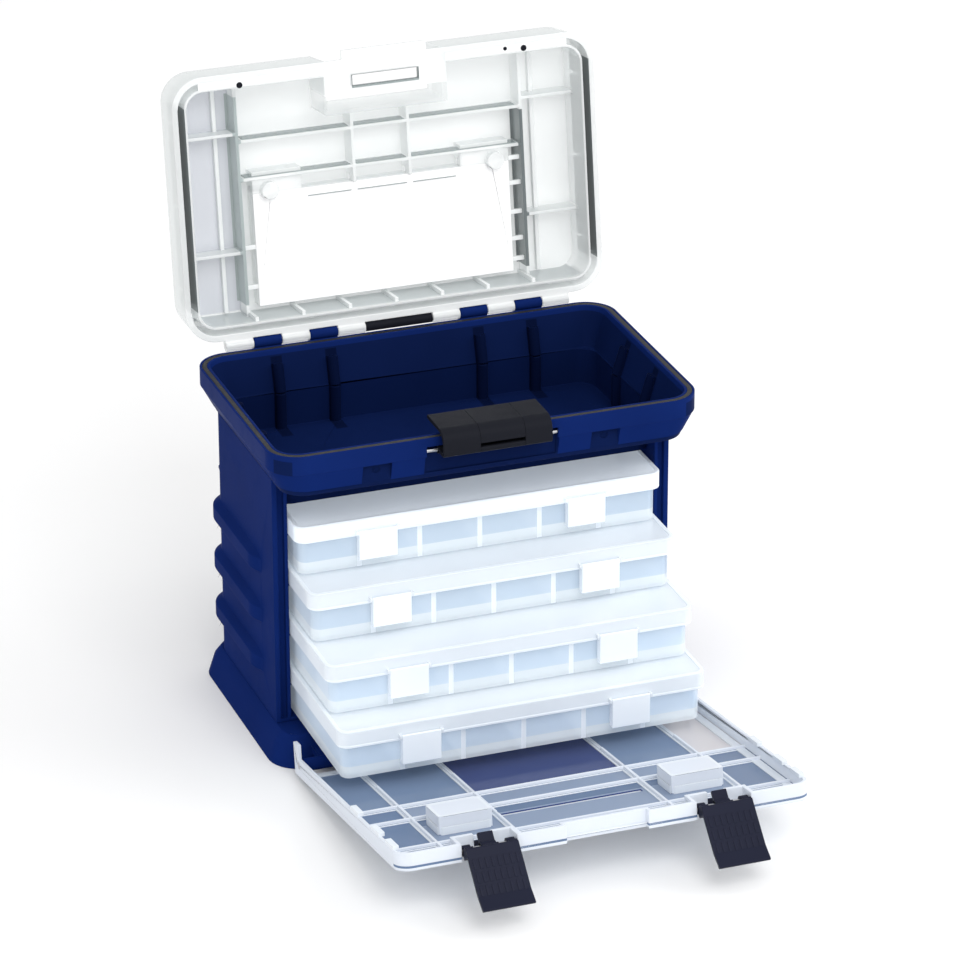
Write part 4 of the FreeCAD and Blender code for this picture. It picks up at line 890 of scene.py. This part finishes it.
class OBJECT_OT_cabinet_stage(bpy.types.Operator):
    """Set the floor, the lamps, the sky and the camera"""

    bl_idname = "object.cabinet_stage"
    bl_label = "Stage"

    def execute(self, context):
        scene, stage = context.scene, context.scene.cabinet_stage
        scene.view_settings.view_transform = "Standard"
        self.floor(scene, stage)
        self.sky(scene, stage)
        self.lamp(scene, "key", place=(0.1, -2.3, 2.6), size=1.8, power=stage.key_power)
        self.lamp(scene, "fill", place=(2.2, -0.6, 1.6), size=1.6, power=stage.fill_power)
        self.camera(scene, stage)
        return {"FINISHED"}

    def floor(self, scene, stage):
        """A matt white floor."""
        mesh = bpy.data.meshes.new("floor")
        form = bmesh.new()
        bmesh.ops.create_grid(form, x_segments=1, y_segments=1, size=stage.floor_half)
        form.to_mesh(mesh)
        form.free()
        floor = bpy.data.objects.new("floor", mesh)
        scene.collection.objects.link(floor)
        paper = bpy.data.materials.new("White paper")
        paper.use_nodes = True
        shader = paper.node_tree.nodes["Principled BSDF"]
        shader.inputs["Base Color"].default_value = (stage.floor_white,) * 3 + (1,)
        shader.inputs["Roughness"].default_value = 0.9
        shader.inputs["Specular IOR Level"].default_value = 0.1
        mesh.materials.append(paper)

    def sky(self, scene, stage):
        """Even white light, and plain white where the camera sees the sky."""
        world = bpy.data.worlds.new("Studio sky")
        scene.world = world
        world.use_nodes = True
        tree = world.node_tree
        light, seen = tree.nodes["Background"], tree.nodes.new("ShaderNodeBackground")
        for sky, strength in ((light, stage.sky_level), (seen, 1)):
            sky.inputs["Color"].default_value = (1, 1, 1, 1)
            sky.inputs["Strength"].default_value = strength
        path, mix = tree.nodes.new("ShaderNodeLightPath"), tree.nodes.new("ShaderNodeMixShader")
        straight = maths(tree, "MAXIMUM", path.outputs["Is Camera Ray"], path.outputs["Is Transmission Ray"])
        terms = (straight, light.outputs["Background"], seen.outputs["Background"])
        for socket, term in zip(mix.inputs, terms):
            feed(tree, socket, term)
        feed(tree, tree.nodes["World Output"].inputs["Surface"], mix.outputs["Shader"])

    def lamp(self, scene, name, place, size, power):
        """A square soft lamp aimed at the middle of the cabinet."""
        data = bpy.data.lights.new(name, "AREA")
        data.shape, data.size, data.energy = "SQUARE", size, power
        lamp = bpy.data.objects.new(name, data)
        scene.collection.objects.link(lamp)
        low, high = CAD_BOX
        aim = (Vector(low) + Vector(high)) / 2 - Vector(place)
        lamp.location = place
        lamp.rotation_euler = aim.to_track_quat("-Z", "Y").to_euler()

    def camera(self, scene, stage):
        """A long lens to the left of the cabinet's front, looking down on it."""
        camera = bpy.data.objects.new("camera", bpy.data.cameras.new("camera"))
        scene.collection.objects.link(camera)
        camera.data.sensor_width, camera.data.lens = 36, stage.lens
        camera.data.clip_start, camera.data.clip_end = 0.1, 50
        camera.matrix_world = (
            Matrix.Translation(stage.camera_place)
            @ Matrix.Rotation(-stage.camera_turn, 4, "Z")
            @ Matrix.Rotation(radians(90) - stage.camera_dip, 4, "X")
            @ Matrix.Rotation(stage.camera_roll, 4, "Z"))
        scene.camera = camera


OPERATORS = (OBJECT_OT_cabinet_finishes, OBJECT_OT_cabinet_shell, OBJECT_OT_cabinet_clear,
             OBJECT_OT_cabinet_latches, OBJECT_OT_cabinet_boxes, OBJECT_OT_cabinet_fixings,
             OBJECT_OT_cabinet_stage)


class VIEW3D_PT_cabinet(bpy.types.Panel):
    """Sizes, colours and build buttons of the cabinet"""

    bl_idname = "VIEW3D_PT_cabinet"
    bl_label = "Tackle Cabinet"
    bl_space_type = "VIEW_3D"
    bl_region_type = "UI"
    bl_category = "Tackle Cabinet"

    def draw(self, context):
        for group in (context.scene.cabinet_finish, context.scene.cabinet_stage):
            for name in group.bl_rna.properties.keys():
                if name not in ("rna_type", "name"):
                    self.layout.prop(group, name)
        for operator in OPERATORS:
            self.layout.operator(operator.bl_idname)


CLASSES = (CabinetFinish, CabinetStage, *OPERATORS, VIEW3D_PT_cabinet)


def register():
    for item in CLASSES:
        bpy.utils.register_class(item)
    bpy.types.Scene.cabinet_finish = PointerProperty(type=CabinetFinish)
    bpy.types.Scene.cabinet_stage = PointerProperty(type=CabinetStage)


def unregister():
    del bpy.types.Scene.cabinet_stage
    del bpy.types.Scene.cabinet_finish
    for item in reversed(CLASSES):
        bpy.utils.unregister_class(item)


def main():
    register()
    for operator in OPERATORS:
        group, name = operator.bl_idname.split(".")
        getattr(getattr(bpy.ops, group), name)()


if __name__ == "__main__":
    main()
